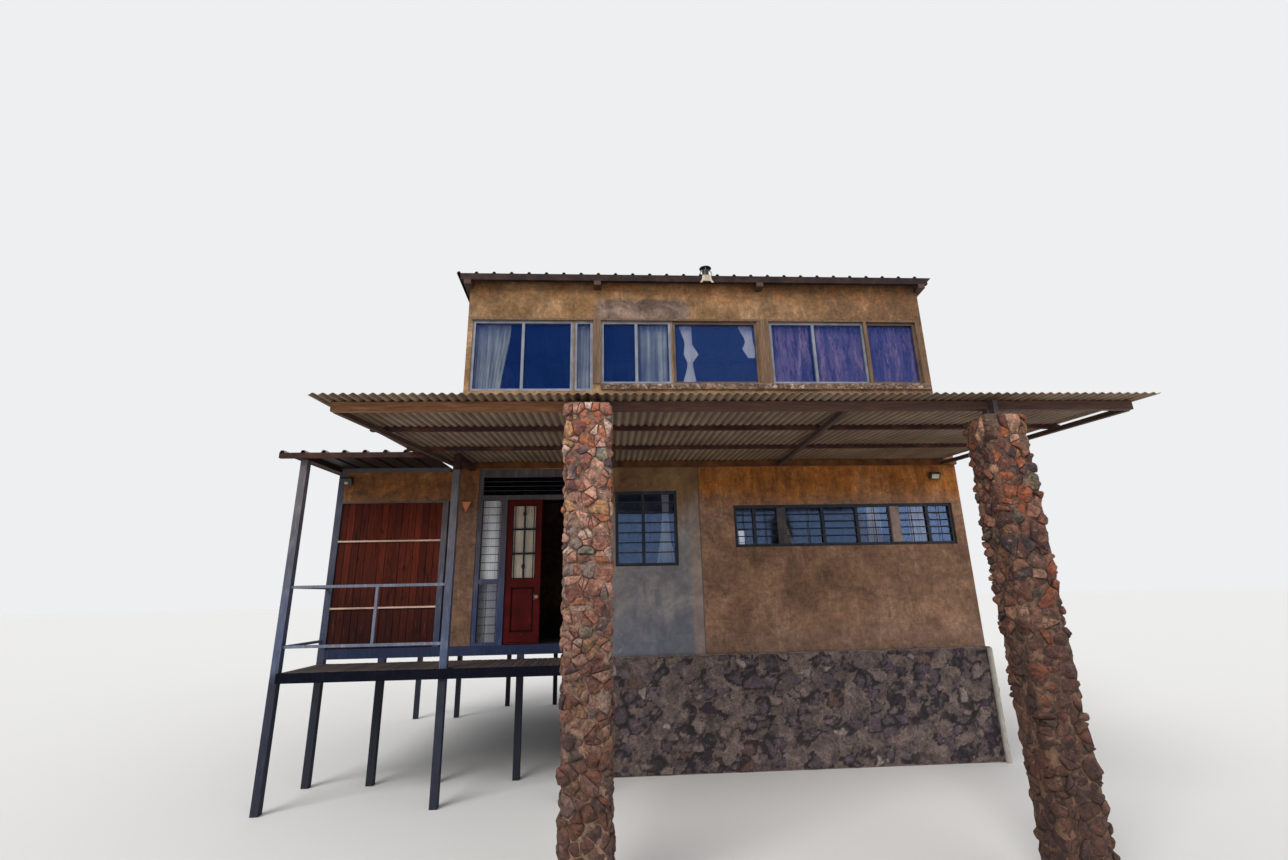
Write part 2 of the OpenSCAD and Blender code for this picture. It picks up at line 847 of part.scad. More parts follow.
module deck_railing() {
    x0 = deck_post_xs[0] + stilt_w;
    x1 = deck_post_xs[1];
    y = -deck_d + 40 + stilt_w / 2;
    bar = 30;
    color(steel_blue) placed() {
        for (h = [rail_low, rail_top])
            block([x0, y - bar / 2, deck_z + h], [x1, y + bar / 2, deck_z + h + bar]);
        block([-585, y - bar / 2, deck_z + rail_low + bar], [-585 + bar, y + bar / 2, deck_z + rail_top]);
        for (h = [rail_low, rail_top])
            block([-wing_w, y + stilt_w / 2, deck_z + h], [-wing_w + bar, 0, deck_z + h + bar]);
    }
}

module door_frame() {
    y0 = door_frame_y;
    y1 = door_frame_y + door_frame_d;
    top = header_z + header_h;
    color(steel_blue) placed() {
        block([door_x, y0, floor_z], [door_x + jamb_w, y1, top]);
        block([leaf_x - post_w, y0, floor_z], [leaf_x, y1, transom_z]);
        block([door_right - jamb_w, y0, floor_z], [door_right, y1, top]);
        block([door_x + jamb_w, y0, transom_z], [door_right - jamb_w, y1, fanlight_z]);
        block([door_x + jamb_w, y0, header_z], [door_right - jamb_w, y1, top]);
        block([door_x + jamb_w, y0, floor_z], [leaf_x - post_w, y1, floor_z + sidelight_foot]);
        block([door_x + jamb_w, y0, sidelight_bar_z], [leaf_x - post_w, y1, sidelight_bar_z + 60]);
    }
}

module door_frame_glass() {
    y0 = door_frame_y + 30;
    x0 = door_x + jamb_w;
    x1 = leaf_x - post_w;
    color([0.7, 0.8, 0.9, 0.4]) placed() {
        block([x0, y0, floor_z + sidelight_foot], [x1, y0 + glass_t, sidelight_bar_z]);
        block([x0, y0, sidelight_bar_z + 60], [x1, y0 + glass_t, transom_z]);
        block([x0, y0, fanlight_z], [door_right - jamb_w, y0 + glass_t, header_z]);
    }
}

// Hinge pins lie at the leaves' inner side, in the middle of the gap
left_pin_x = leaf_x + leaf_gap / 2;
right_pin_x = leaf_x + leaf_bay - leaf_gap / 2;

module knuckle(x, z) {
    translate([x, pin_y, z]) cylinder(r = pin_r, h = knuckle_h, $fn = 32);
}

module door_hinges() {
    y1 = door_frame_y + door_frame_d;
    color(steel_blue) placed()
        for (f = hinge_heights) {
            z = leaf_z + f * leaf_h;
            knuckle(left_pin_x, z);
            block([leaf_x - 30, y1, z], [left_pin_x, y1 + 4, z + knuckle_h]);
            block([left_pin_x - 6, y1, z], [left_pin_x, pin_y, z + knuckle_h]);
            knuckle(right_pin_x, z);
            block([right_pin_x, y1, z], [leaf_x + leaf_bay + 30, y1 + 4, z + knuckle_h]);
            block([right_pin_x, y1, z], [right_pin_x + 6, pin_y, z + knuckle_h]);
        }
}

// Door leaf as it stands closed, hinge side at x = 0; stiles, rails, panes and a lower panel
stile = 70;
glass_low = 790;
pane_bar = 20;

module leaf_wood(knob) {
    pane_w = leaf_w - 2 * stile;
    difference() {
        cube([leaf_w, leaf_t, leaf_h]);
        translate([stile, -1, glass_low]) cube([pane_w, leaf_t + 2, leaf_h - glass_low - stile]);
        translate([stile, -1, 130]) cube([pane_w, 11, glass_low - 230]);
    }
    translate([leaf_w / 2 - pane_bar / 2, 6, glass_low]) cube([pane_bar, leaf_t - 12, leaf_h - glass_low - stile]);
    for (i = [1:2])
        translate([stile, 6, glass_low + i * (leaf_h - glass_low - stile) / 3 - pane_bar / 2])
            cube([pane_w, leaf_t - 12, pane_bar]);
    if (knob)
        translate([leaf_w - 40, 0, 560]) {
            rotate([90, 0, 0]) cylinder(r = 12, h = 30, $fn = 32);
            translate([0, -30, 0]) sphere(r = 26, $fn = 32);
        }
    for (f = hinge_heights)
        translate([-leaf_gap / 2, 0, f * leaf_h + knuckle_h + 0.3]) {
            translate([0, pin_y - leaf_y, 0]) cylinder(r = pin_r, h = knuckle_h, $fn = 32);
            translate([0, leaf_t, 0]) cube([6, pin_y - leaf_y - leaf_t, knuckle_h]);
            translate([leaf_gap / 2, leaf_t, 0]) cube([35, 4, knuckle_h]);
        }
}

module leaf_glass() {
    cell_w = (leaf_w - 2 * stile - pane_bar) / 2;
    pitch_h = (leaf_h - glass_low - stile) / 3;
    for (i = [0:1], j = [0:2]) {
        z0 = glass_low + j * pitch_h + (j == 0 ? 0 : pane_bar / 2);
        z1 = glass_low + (j + 1) * pitch_h - (j == 2 ? 0 : pane_bar / 2);
        translate([stile + i * (cell_w + pane_bar), leaf_t / 2 - 2, z0]) cube([cell_w, 4, z1 - z0]);
    }
}

module left_leaf_place() {
    translate([leaf_x + leaf_gap, leaf_y, leaf_z]) children();
}

// The right leaf is mirrored, and it stands open at a right angle
module right_leaf_place() {
    translate([right_pin_x, pin_y, leaf_z]) rotate([0, 0, -90])
        mirror([1, 0, 0]) translate([leaf_gap / 2, leaf_y - pin_y, 0]) children();
}

module door_leaf_left() {
    color(red_wood) placed() left_leaf_place() leaf_wood(true);
}
module door_leaf_left_glass() {
    color([0.7, 0.8, 0.9, 0.4]) placed() left_leaf_place() leaf_glass();
}
module door_leaf_right() {
    color(red_wood) placed() right_leaf_place() leaf_wood(false);
}
module door_leaf_right_glass() {
    color([0.7, 0.8, 0.9, 0.4]) placed() right_leaf_place() leaf_glass();
}

// Places of the small windows in front, right and rear walls
module each_small_window() {
    z = floor_z + small_sill;
    translate([small_x, window_y, z]) children();
    translate([house_w - window_y, side_small_y, z]) rotate([0, 0, 90]) children();
    translate([back_small_x + small_w, house_d - window_y, z]) rotate([0, 0, 180]) children();
}

module small_windows() {
    color(steel_blue) placed() each_small_window()
        window_frame(small_w, frame_d, small_h, [small_w * 0.45], frame_w);
}

module ribbon_window() {
    color(steel_blue) placed() translate([ribbon_x, window_y, floor_z + ribbon_sill]) {
        window_frame(ribbon_w, frame_d, ribbon_h, ribbon_mullions, frame_w);
    }
}

// Upright posts that part the ribbon window into three, level with the wall's face
module ribbon_posts() {
    color(cement) placed() translate([ribbon_x, 0, floor_z + ribbon_sill + frame_w])
        for (p = ribbon_bays)
            translate([p[0], 0, 0]) cube([p[1] - p[0], window_y + frame_d, ribbon_h - 2 * frame_w]);
}

module each_side_slider() {
    translate([upper_w - window_y, side_slider_y, upper_z + sill_high]) rotate([0, 0, 90]) children();
}

module upper_windows() {
    color(zinc) placed() {
        for (i = [0:len(upper_row) - 1]) {
            r = upper_row[i];
            w = r[1] - r[0];
            translate([r[0], window_y, upper_z + r[2]])
                window_frame(w, frame_d, upper_head - r[2], upper_mullions[i] * w, frame_w);
        }
        each_side_slider()
            window_frame(slider_w, frame_d, upper_head - sill_high, [slider_w / 2], frame_w);
        for (x = back_slider_xs)
            translate([x + slider_w, house_d - window_y, upper_z + sill_high]) rotate([0, 0, 180])
                window_frame(slider_w, frame_d, back_head - sill_high, [slider_w / 2], frame_w);
    }
}

module lower_window_glass() {
    color([0.7, 0.8, 0.9, 0.4]) placed() {
        each_small_window() window_panes(small_w, frame_d, small_h, [small_w * 0.45], frame_w);
        translate([ribbon_x, window_y + frame_d / 2, floor_z + ribbon_sill + frame_w]) {
            h = ribbon_h - 2 * frame_w;
            ends = [
                [frame_w, ribbon_mullions[0] - frame_w / 2],
                [ribbon_mullions[0] + frame_w / 2, ribbon_bays[0][0]],
                [ribbon_bays[0][1], ribbon_mullions[1] - frame_w / 2],
                [ribbon_mullions[1] + frame_w / 2, ribbon_mullions[2] - frame_w / 2],
                [ribbon_mullions[2] + frame_w / 2, ribbon_bays[1][0]],
                [ribbon_bays[1][1], ribbon_mullions[3] - frame_w / 2],
                [ribbon_mullions[3] + frame_w / 2, ribbon_w - frame_w]
            ];
            for (e = ends)
                translate([e[0], 0, 0]) cube([e[1] - e[0], glass_t, h]);
        }
    }
}

module upper_window_glass() {
    color([0.7, 0.8, 0.9, 0.4]) placed() {
        for (i = [0:len(upper_row) - 1]) {
            r = upper_row[i];
            w = r[1] - r[0];
            translate([r[0], window_y, upper_z + r[2]])
                window_panes(w, frame_d, upper_head - r[2], upper_mullions[i] * w, frame_w);
        }
        each_side_slider()
            window_panes(slider_w, frame_d, upper_head - sill_high, [slider_w / 2], frame_w);
        for (x = back_slider_xs)
            translate([x + slider_w, house_d - window_y, upper_z + sill_high]) rotate([0, 0, 180])
                window_panes(slider_w, frame_d, back_head - sill_high, [slider_w / 2], frame_w);
    }
}

// Curtain rails inside, just over the windows, and the cloth that hangs under them
rail_t = 25;
cloth_t = 30;
module rail(x0, x1, y, z) {
    block([x0, y, z], [x1, y + cloth_t, z + rail_t]);
}
upper_rail_z = upper_z + upper_head + 10;
small_rail_z = floor_z + small_sill + small_h + 10;
ribbon_rail_z = floor_z + ribbon_sill + ribbon_h + 10;

module curtain_rails() {
    color(zinc) placed() {
        rail(upper_wall_t, upper_w - upper_wall_t - 10, upper_wall_t, upper_rail_z);
        rail(small_x, small_x + small_w, lower_wall_t, small_rail_z);
        rail(ribbon_x, house_w - lower_wall_t - 5, lower_wall_t, ribbon_rail_z);
    }
}

module cloth(x0, x1, y, z0, z1) {
    block([x0, y, z0], [x1, y + cloth_t, z1]);
}

// The cloths hang down past the sills
cloth_drop = 60;

module upper_curtains() {
    low = upper_z + sill_low - cloth_drop;
    high = upper_z + sill_high - cloth_drop;
    color("white") placed() {
        cloth(upper_row[0][0] + 30, upper_row[0][0] + 410, upper_wall_t, low, upper_rail_z);
        cloth(upper_row[1][0] + 10, upper_row[1][1], upper_wall_t, low, upper_rail_z);
        cloth(upper_row[2][1] - 500, upper_row[2][1] - 40, upper_wall_t, high, upper_rail_z);
        cloth(upper_row[3][0] + 100, upper_row[3][0] + 340, upper_wall_t, high, upper_rail_z);
        cloth(upper_row[3][1] - 265, upper_row[3][1] - 5, upper_wall_t, high, upper_rail_z);
    }
}

module purple_cloths() {
    low = upper_z + sill_high - cloth_drop;
    slider = upper_row[4];
    last = upper_row[5];
    middle = slider[0] + upper_mullions[4][0] * (slider[1] - slider[0]);
    gap = 10;
    color([0.35, 0.25, 0.42]) placed() {
        cloth(slider[0] - gap, middle - gap, upper_wall_t, low, upper_rail_z);
        cloth(middle + gap, slider[1] - gap, upper_wall_t, low, upper_rail_z);
        cloth(last[0] - gap, last[1] - gap, upper_wall_t, low, upper_rail_z);
    }
}

// Widths of the cloths at the small window and at the right end of the ribbon window
small_cloth_w = 270;
end_cloth_w = 320;
// Left and right edges of the other cloths, from the ribbon window's left edge
ribbon_cloths = [[0, 130], [690, 900], [1960, 2180]];

module lower_curtains() {
    z0 = floor_z + ribbon_sill - cloth_drop;
    small_right = small_x + small_w;
    end_right = house_w - lower_wall_t - 10;
    color("white") placed() {
        cloth(small_right - small_cloth_w, small_right, lower_wall_t, floor_z + small_sill - cloth_drop, small_rail_z);
        for (c = ribbon_cloths)
            cloth(ribbon_x + c[0], ribbon_x + c[1], lower_wall_t, z0, ribbon_rail_z);
        cloth(end_right - end_cloth_w, end_right, lower_wall_t, z0, ribbon_rail_z);
        // Cloth behind the sidelight
        block([door_x + jamb_w, door_frame_y + door_frame_d + 0.3, floor_z + sidelight_foot],
              [leaf_x - post_w, door_frame_y + door_frame_d + 20, transom_z]);
    }
}

// Wall lamps: a body on a short bracket
lamp_inset = 350;
wing_lamp_inset = 130;
lamp_lift = 2120;
lamp_w = 140;
lamp_h = 100;
lamp_t = 70;
lamp_bracket_w = 40;
lamp_bracket_l = 60;
lamp_tilt = 30;
module floodlight(x) {
    w = lamp_bracket_w;
    front = lamp_bracket_l - 20;
    translate([x, 0, floor_z + lamp_lift]) {
        block([-w / 2, -lamp_bracket_l, -50], [w / 2, 0, -20]);
        rotate([lamp_tilt, 0, 0])
            block([-lamp_w / 2, -front - lamp_t, -60], [lamp_w / 2, -front, lamp_h - 60]);
    }
}
module floodlights() {
    color([0.12, 0.12, 0.12]) placed() {
        floodlight(house_w - lamp_inset);
        floodlight(wing_lamp_inset - wing_w);
    }
}

// Triangle that points down, on the pier
ornament_x = 145;
ornament_lift = 1790;
ornament_w = 120;
ornament_h = 135;
ornament_t = 40;
module wall_ornament() {
    w = ornament_w / 2;
    color([0.80, 0.42, 0.25]) placed()
        translate([ornament_x, 0, floor_z + ornament_lift]) rotate([90, 0, 0]) linear_extrude(ornament_t)
            polygon([[-w, 0], [w, 0], [0, -ornament_h]]);
}

stone_foundation();
drain_pipe();
floor_frame();
floor_stilts();
ground_floor();
front_wall_right();
front_wall_middle();
door_pier();
wall_over_door();
lower_left_wall();
lower_right_wall();
lower_back_wall();
upper_floor();
upper_front_wall();
upper_side_walls();
upper_back_wall();
window_trim();
window_ledge();
main_roof();
roof_purlins();
roof_rafters();
roof_flue();
porch_roof();
porch_beam();
porch_purlins();
porch_rafters();
porch_ledger();
pillar_middle();
pillar_right();
pillar_brackets();
wing_roof();
wing_roof_beams();
wing_wall_beam();
wing_walls();
boarded_panel();
panel_frame();
deck_posts();
deck_frame();
deck_boards();
deck_railing();
door_frame();
door_frame_glass();
door_hinges();
door_leaf_left();
door_leaf_left_glass();
door_leaf_right();
door_leaf_right_glass();
small_windows();
ribbon_window();
ribbon_posts();
upper_windows();
lower_window_glass();
upper_window_glass();
curtain_rails();
lower_curtains();
upper_curtains();
purple_cloths();
floodlights();
wall_ornament();
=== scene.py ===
import json
from math import cos, hypot, pi, radians, sin, tan
import random

import bpy
from mathutils import Matrix, Vector, noise


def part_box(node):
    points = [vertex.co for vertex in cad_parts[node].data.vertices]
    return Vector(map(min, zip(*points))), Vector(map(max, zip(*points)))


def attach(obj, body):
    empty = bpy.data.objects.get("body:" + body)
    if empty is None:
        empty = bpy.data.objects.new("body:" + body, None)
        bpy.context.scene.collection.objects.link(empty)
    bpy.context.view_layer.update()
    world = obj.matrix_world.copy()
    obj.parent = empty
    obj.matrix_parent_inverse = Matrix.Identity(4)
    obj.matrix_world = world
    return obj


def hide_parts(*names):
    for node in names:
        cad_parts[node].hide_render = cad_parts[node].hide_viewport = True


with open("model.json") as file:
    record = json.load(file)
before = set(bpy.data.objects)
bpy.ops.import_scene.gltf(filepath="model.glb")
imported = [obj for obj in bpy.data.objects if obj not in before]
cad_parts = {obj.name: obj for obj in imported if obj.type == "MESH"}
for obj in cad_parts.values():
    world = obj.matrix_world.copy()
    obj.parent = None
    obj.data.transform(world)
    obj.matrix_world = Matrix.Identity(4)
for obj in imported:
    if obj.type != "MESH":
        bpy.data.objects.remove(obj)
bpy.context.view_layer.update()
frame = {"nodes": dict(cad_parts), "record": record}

HOUSE = "house"

# The left front corner of the main block, on the lowest ground
PIER_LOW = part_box("door_pier")[0]
CORNER = Vector((PIER_LOW.x, PIER_LOW.y, 0.0))


def at(x, y, z):
    """A point x to the right of the main block's corner, y behind its front wall, z above the ground."""
    return CORNER + Vector((x, y, z))


def rest_box(node):
    """Lowest and highest corner of a CAD node, measured from the main block's corner."""
    low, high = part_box(node)
    return low - CORNER, high - CORNER


# Surface of the ground floor above the lowest ground, and the bar between the sidelight and the fanlight
FLOOR = rest_box("door_pier")[0].z
TRANSOM = 3.318

# Width of a wave of the porch sheet
PORCH_WAVE = 0.0762

# Windows of the upper row without a bright frame, from left to right edge
DULL_FRAMES = (2.952, 4.30), (5.838, 6.70)

# Heights of the panel's flat bars above the ground floor
FLAT_BARS = (0.467, 1.290)

# The small window in the front wall
SMALL_LOW, SMALL_HIGH = Vector((2.105, 0.02, 2.425)), Vector((2.935, 0.08, 3.415))

# A door leaf: its foot above the lowest ground, width, height, stile, the foot of its glass, its lower panel
LEAF_FOOT = 1.508
LEAF_W, LEAF_H, STILE, GLASS_LOW = 0.446, 1.804, 0.07, 0.79
PANEL_LOW, PANEL_HIGH = 0.13, 0.69

# The doorway's left edge and width, the gap beside a leaf, and the leaves' face and pins behind the wall's front
DOOR_X, DOOR_W, LEAF_GAP, LEAF_Y, PIN_Y = 0.680, 0.910, 0.006, 0.035, 0.09


def leaf_to_house(side, point):
    """A point of the closed left leaf, hinge at x 0, moved to where that leaf stands at rest."""
    if side == "left":
        return at(DOOR_X + LEAF_GAP + point.x, LEAF_Y + point.y, LEAF_FOOT + point.z)
    # The right leaf is mirrored about its pin and stands open at a right angle
    pin_x = DOOR_X + DOOR_W - LEAF_GAP / 2
    along = LEAF_GAP / 2 + point.x
    across = LEAF_Y - PIN_Y + point.y
    return at(pin_x + across, PIN_Y + along, LEAF_FOOT + point.z)


# Materials

SHINE = "Specular IOR Level"
SHEEN = "Sheen Weight"


def srgb(r, g, b):
    """Linear colour of a display colour that is given in 0 to 255."""
    def linear(c):
        c = c / 255
        return c / 12.92 if c < 0.04 else ((c + 0.055) / 1.055) ** 2.4
    return (linear(r), linear(g), linear(b), 1.0)


class Value:
    """A number or colour that the nodes of a graph work out. Signs between values add nodes."""

    def __init__(self, graph, socket):
        self.graph = graph
        self.socket = socket

    def math(self, operation, other=0.0):
        return self.graph.node("Math", {0: self, 1: other}, operation=operation)

    def __add__(self, other):
        return self.math("ADD", other)

    def __sub__(self, other):
        return self.math("SUBTRACT", other)

    def __mul__(self, other):
        return self.math("MULTIPLY", other)

    def rise(self, low, high):
        """0 below low, 1 above high, smooth between; low may be above high."""
        start, end = (0.0, 1.0) if low < high else (1.0, 0.0)
        return self.graph.node("MapRange", {
            "Value": self, "From Min": min(low, high), "From Max": max(low, high),
            "To Min": start, "To Max": end}, interpolation_type="SMOOTHSTEP")

    def between(self, low, high, soft):
        """1 from low to high, with soft ends."""
        return self.rise(low - soft, low + soft) * self.rise(high + soft, high - soft)

    def ramp(self, *stops, interpolation="LINEAR"):
        """Colours along a value: pairs of place and display colour."""
        colour = self.graph.node("ValToRGB", {"Fac": self})
        band = colour.socket.node.color_ramp
        band.interpolation = interpolation
        for _ in stops[2:]:
            band.elements.new(0.5)
        for element, (place, shade) in zip(band.elements, stops):
            element.position = place
            element.color = srgb(*shade)
        return colour


class Graph:
    """The nodes of a material or a world. They lead to the end node, which is named here."""

    def __init__(self, owner, end):
        owner.use_nodes = True
        self.tree = owner.node_tree
        self.end = self.tree.nodes[end]

    def fill(self, node, inputs):
        """Links values from other nodes to a node's sockets, or sets constants on the sockets themselves."""
        for socket, value in inputs.items():
            if isinstance(value, Value):
                self.tree.links.new(value.socket, node.inputs[socket])
            else:
                node.inputs[socket].default_value = value

    def link(self, socket, value):
        self.fill(self.end, {socket: value})

    def node(self, kind, inputs, output=0, **settings):
        """A new node's output, from what goes into its sockets and the settings of the node itself."""
        node = self.tree.nodes.new("ShaderNode" + kind)
        for name, setting in settings.items():
            setattr(node, name, setting)
        self.fill(node, inputs)
        return Value(self, node.outputs[output])


class Look(Graph):
    """A procedural material while it is put together: coats of colour over a base, then bumps."""

    def __init__(self, name, roughness, constants=None):
        self.name = name
        self.material = bpy.data.materials.new(name)
        super().__init__(self.material, "Principled BSDF")
        self.fill(self.end, {"Roughness": roughness, **(constants or {})})
        self.place = self.node("TexCoord", {}, "Object")
        self.base = None

    def noise(self, scale, detail, roughness, stretch=(1, 1, 1), distortion=0.0):
        spot = self.node("Mapping", {"Vector": self.place, "Scale": stretch})
        return self.node("TexNoise", {"Vector": spot, "Scale": scale, "Detail": detail,
                                      "Roughness": roughness, "Distortion": distortion})

    def attribute(self, name):
        return self.node("Attribute", {}, "Fac", attribute_name=name)

    def axis(self, name):
        """The place along X, Y or Z, in metres."""
        return self.node("SeparateXYZ", {"Vector": self.place}, name)

    def along(self, name, low, high):
        """Rises along X, Y or Z between two places that are measured from the main block's corner."""
        corner = CORNER["XYZ".index(name)]
        return self.axis(name).rise(corner + low, corner + high)

    def mix(self, share, a, b, blend="MIX"):
        a, b = (colour if isinstance(colour, Value) else srgb(*colour) for colour in (a, b))
        return self.node("Mix", {"Factor": share, 6: a, 7: b}, 2, data_type="RGBA", blend_type=blend)

    def coat(self, share, colour):
        """Lays a share of another colour over the base."""
        self.base = self.mix(share, self.base, colour)

    def shade(self, tone):
        """Multiplies the base by a tone."""
        self.base = self.mix(1.0, self.base, tone, "MULTIPLY")

    def mottle(self, *layers):
        """Lightens and darkens the base by layers of noise, each with its strength."""
        for layer, strength in layers:
            self.shade(layer * (2 * strength) + (1 - strength))

    def rough(self, value, low, high):
        """Roughness from low to high as a value goes from 0 to 1."""
        self.link("Roughness", value * (high - low) + low)

    def done(self, *layers):
        """Links the colour and the layers of height and depth in metres, from the widest to the finest."""
        self.link("Base Color", self.base)
        below = {}
        for height, depth in layers:
            normal = self.node("Bump", {"Height": height, "Distance": depth, **below})
            below = {"Normal": normal}
            self.link("Normal", normal)
        return self


def inside(look, x_range, z_range, soft, wander=0.0):
    """1 inside a rectangle on the front wall and near it, with a soft and wandering edge."""
    x0, x1 = (CORNER.x + x for x in x_range)
    share = (look.axis("X") + wander).between(x0, x1, soft)
    return share * (look.axis("Z") + wander).between(*z_range, soft) * look.along("Y", 0.8, 0.7)


def ochre_adobe():
    """Mud plaster: ochre with rain streaks, pale salts, and browner near the ground."""
    look = Look("ochre_adobe", 0.95)
    broad = look.noise(1.1, 6, 0.62)
    patch = look.noise(2.6, 9, 0.72, distortion=0.6)
    streak = look.noise(2.6, 7, 0.68, (2.4, 2.4, 0.7), 0.9)
    trowel = look.noise(11, 6, 0.70, (0.7, 0.7, 1.4), 0.8)
    scratch = look.noise(26, 6, 0.75, (1, 1, 0.6), 0.4)
    wander = (patch - 0.5) * 0.5
    level = look.axis("Z") + wander
    upper = broad.ramp((0.34, (104, 76, 46)), (0.50, (128, 96, 62)), (0.64, (148, 116, 84)))
    look.base = broad.ramp((0.30, (118, 86, 64)), (0.50, (136, 102, 80)), (0.68, (152, 118, 96)))
    look.coat(look.along("Z", 3.9, 4.3), look.mix(look.along("X", 3.0, 6.2) * 0.7, upper, (92, 62, 40)))
    # In front, under the porch roof, the plaster stays fresher and more orange
    sheet = rest_box("porch_roof")[1].z
    front = look.along("Z", sheet, sheet - 0.03) * look.along("Y", 0.30, 0.08)
    look.coat(level.rise(3.10, 3.50) * front * 0.9, streak.ramp((0.34, (130, 70, 12)), (0.62, (172, 102, 24))))
    # Painted shade: darker at the wall's left end under the porch roof, beside the post
    look.coat(look.along("X", 0.45, 0.20) * front * 0.5, (70, 50, 36))
    # Brown run-off under the eaves, pale salts lower on the upper wall
    look.coat(level.rise(6.10, 6.45) * streak.rise(0.42, 0.58) * 0.7, (122, 76, 36))
    look.coat(streak.rise(0.50, 0.66) * broad.rise(0.42, 0.60) * 0.4, (164, 132, 102))
    cement = inside(look, (1.84, 3.22), (5.92, 6.28), 0.05, wander * 0.30)
    look.coat(cement * 0.9, patch.ramp((0.38, (82, 66, 60)), (0.60, (118, 98, 88))))
    look.coat(trowel.rise(0.56, 0.70) * 0.35, (98, 66, 42))
    look.coat(level.rise(1.85, 1.38) * patch.rise(0.35, 0.60) * 0.65, (104, 84, 76))
    look.mottle((streak, 0.45), (patch, 1.2), (trowel, 0.8), (scratch, 0.9))
    grain = look.noise(60, 4, 0.7)
    look.coat(grain.rise(0.58, 0.74) * 0.22, (84, 60, 42))
    return look.done((patch, 0.025), (trowel, 0.012), (scratch, 0.005), (grain, 0.003))


def grey_plaster():
    """Cement plaster: cool grey with trowel clouds, ochre run-off at the top."""
    look = Look("grey_plaster", 0.9)
    cloud = look.noise(2.2, 7, 0.62, distortion=0.8)
    patch = look.noise(7.0, 6, 0.68, distortion=1.2)
    streak = look.noise(2.6, 5, 0.6, (3.6, 3.6, 0.5))
    height = look.axis("Z") + (streak - 0.5) * 1.1
    look.base = cloud.ramp((0.30, (112, 108, 114)), (0.50, (130, 125, 126)), (0.68, (148, 140, 134)))
    look.coat(height.rise(2.70, 3.45), cloud.ramp((0.35, (92, 64, 38)), (0.62, (124, 94, 60))))
    look.coat(height.rise(2.0, 1.55) * 0.8, (98, 100, 112))
    # A paler strip beside the joint with the ochre wall, and the joint itself
    look.coat(look.along("X", 3.07, 3.12) * height.rise(3.4, 2.9) * 0.55, (154, 130, 114))
    look.coat(look.along("X", 3.222, 3.236) * 0.75, (66, 56, 50))
    look.coat(look.noise(9, 6, 0.7).rise(0.60, 0.70) * 0.45, (162, 148, 134))
    look.mottle((patch, 0.55), (cloud, 0.4))
    grain = look.noise(75, 4, 0.7)
    look.coat(grain.rise(0.6, 0.75) * 0.2, (78, 72, 70))
    return look.done((cloud, 0.014), (patch, 0.006), (grain, 0.002))


def stone(name, stops, vein_colour, pale_colour):
    """Field stones: each has its own tint along the stops, with veins, patches and rough faces."""
    look = Look(name, 0.88)
    patch = look.noise(11, 5, 0.62, distortion=1.0)
    vein = look.noise(24, 6, 0.68, distortion=1.4)
    grain = look.noise(90, 4, 0.7)
    tint = look.attribute("tint")
    side = tint.math("LESS_THAN")
    look.base = (tint + side * 2.0).ramp(*stops, interpolation="CONSTANT")
    look.coat(patch.rise(0.54, 0.68) * 0.55, vein_colour)
    look.coat(look.noise(15, 6, 0.66, distortion=0.8).rise(0.54, 0.68) * 0.6, pale_colour)
    # Painted shade, with some soil splash, darkens the stones towards the foot
    look.coat(look.along("Z", 3.4, 0.6) * 0.86, (56, 34, 26))
    look.mottle((vein, 2.3), (patch, 1.3))
    look.coat(grain.rise(0.58, 0.74) * 0.35, (62, 42, 38))
    # Painted shade on the sides of the stones, down between them
    look.coat(side * 0.70, (30, 20, 20))
    return look.done((vein, 0.010), (grain, 0.003))


def rubble():
    """Stones half buried in pale mortar, with painted shade in the gaps between them."""
    look = Look("rubble_stone", 0.92)
    patch = look.noise(9, 5, 0.62, distortion=1.0)
    vein = look.noise(24, 6, 0.7, distortion=1.4)
    look.base = look.attribute("tint").ramp(*RUBBLE_STONES, interpolation="CONSTANT")
    look.coat(patch.rise(0.56, 0.68) * 0.5, (106, 90, 88))
    bed = look.noise(5, 6, 0.7, distortion=0.6).ramp((0.38, (64, 54, 54)), (0.62, (112, 95, 88)))
    look.coat(look.attribute("buried").rise(-0.05, 0.05), bed)
    look.mottle((vein, 1.5), (patch, 0.8))
    # Painted shade in the cracks between the stones
    look.coat(look.attribute("gap").rise(0.15, 0.75) * 0.85, (22, 17, 20))
    return look.done((vein, 0.012), (look.noise(90, 4, 0.7), 0.003))


def mortar(name, dark, light):
    """Rough mortar or mud with smears and grains."""
    look = Look(name, 0.95)
    cloud = look.noise(6, 6, 0.65)
    grain = look.noise(55, 5, 0.75)
    look.base = look.noise(13, 5, 0.7, distortion=0.6).ramp((0.42, dark), (0.60, light))
    look.coat(cloud.rise(0.4, 0.6) * 0.3, light)
    look.coat(grain.rise(0.55, 0.72) * 0.4, (66, 54, 48))
    return look.done((cloud, 0.02), (look.noise(22, 6, 0.7), 0.012), (grain, 0.004))


def post_plaster():
    """Plaster of the ribbon window's two posts: the left one is darker."""
    look = Look("post_plaster", 0.95)
    cloud = look.noise(6, 6, 0.65)
    grain = look.noise(55, 5, 0.75)
    look.base = cloud.ramp((0.38, (124, 104, 98)), (0.62, (158, 136, 128)))
    look.coat(look.along("X", 5.05, 4.95), cloud.ramp((0.38, (62, 58, 62)), (0.62, (88, 80, 80))))
    look.mottle((grain, 0.5))
    return look.done((cloud, 0.008), (grain, 0.003))


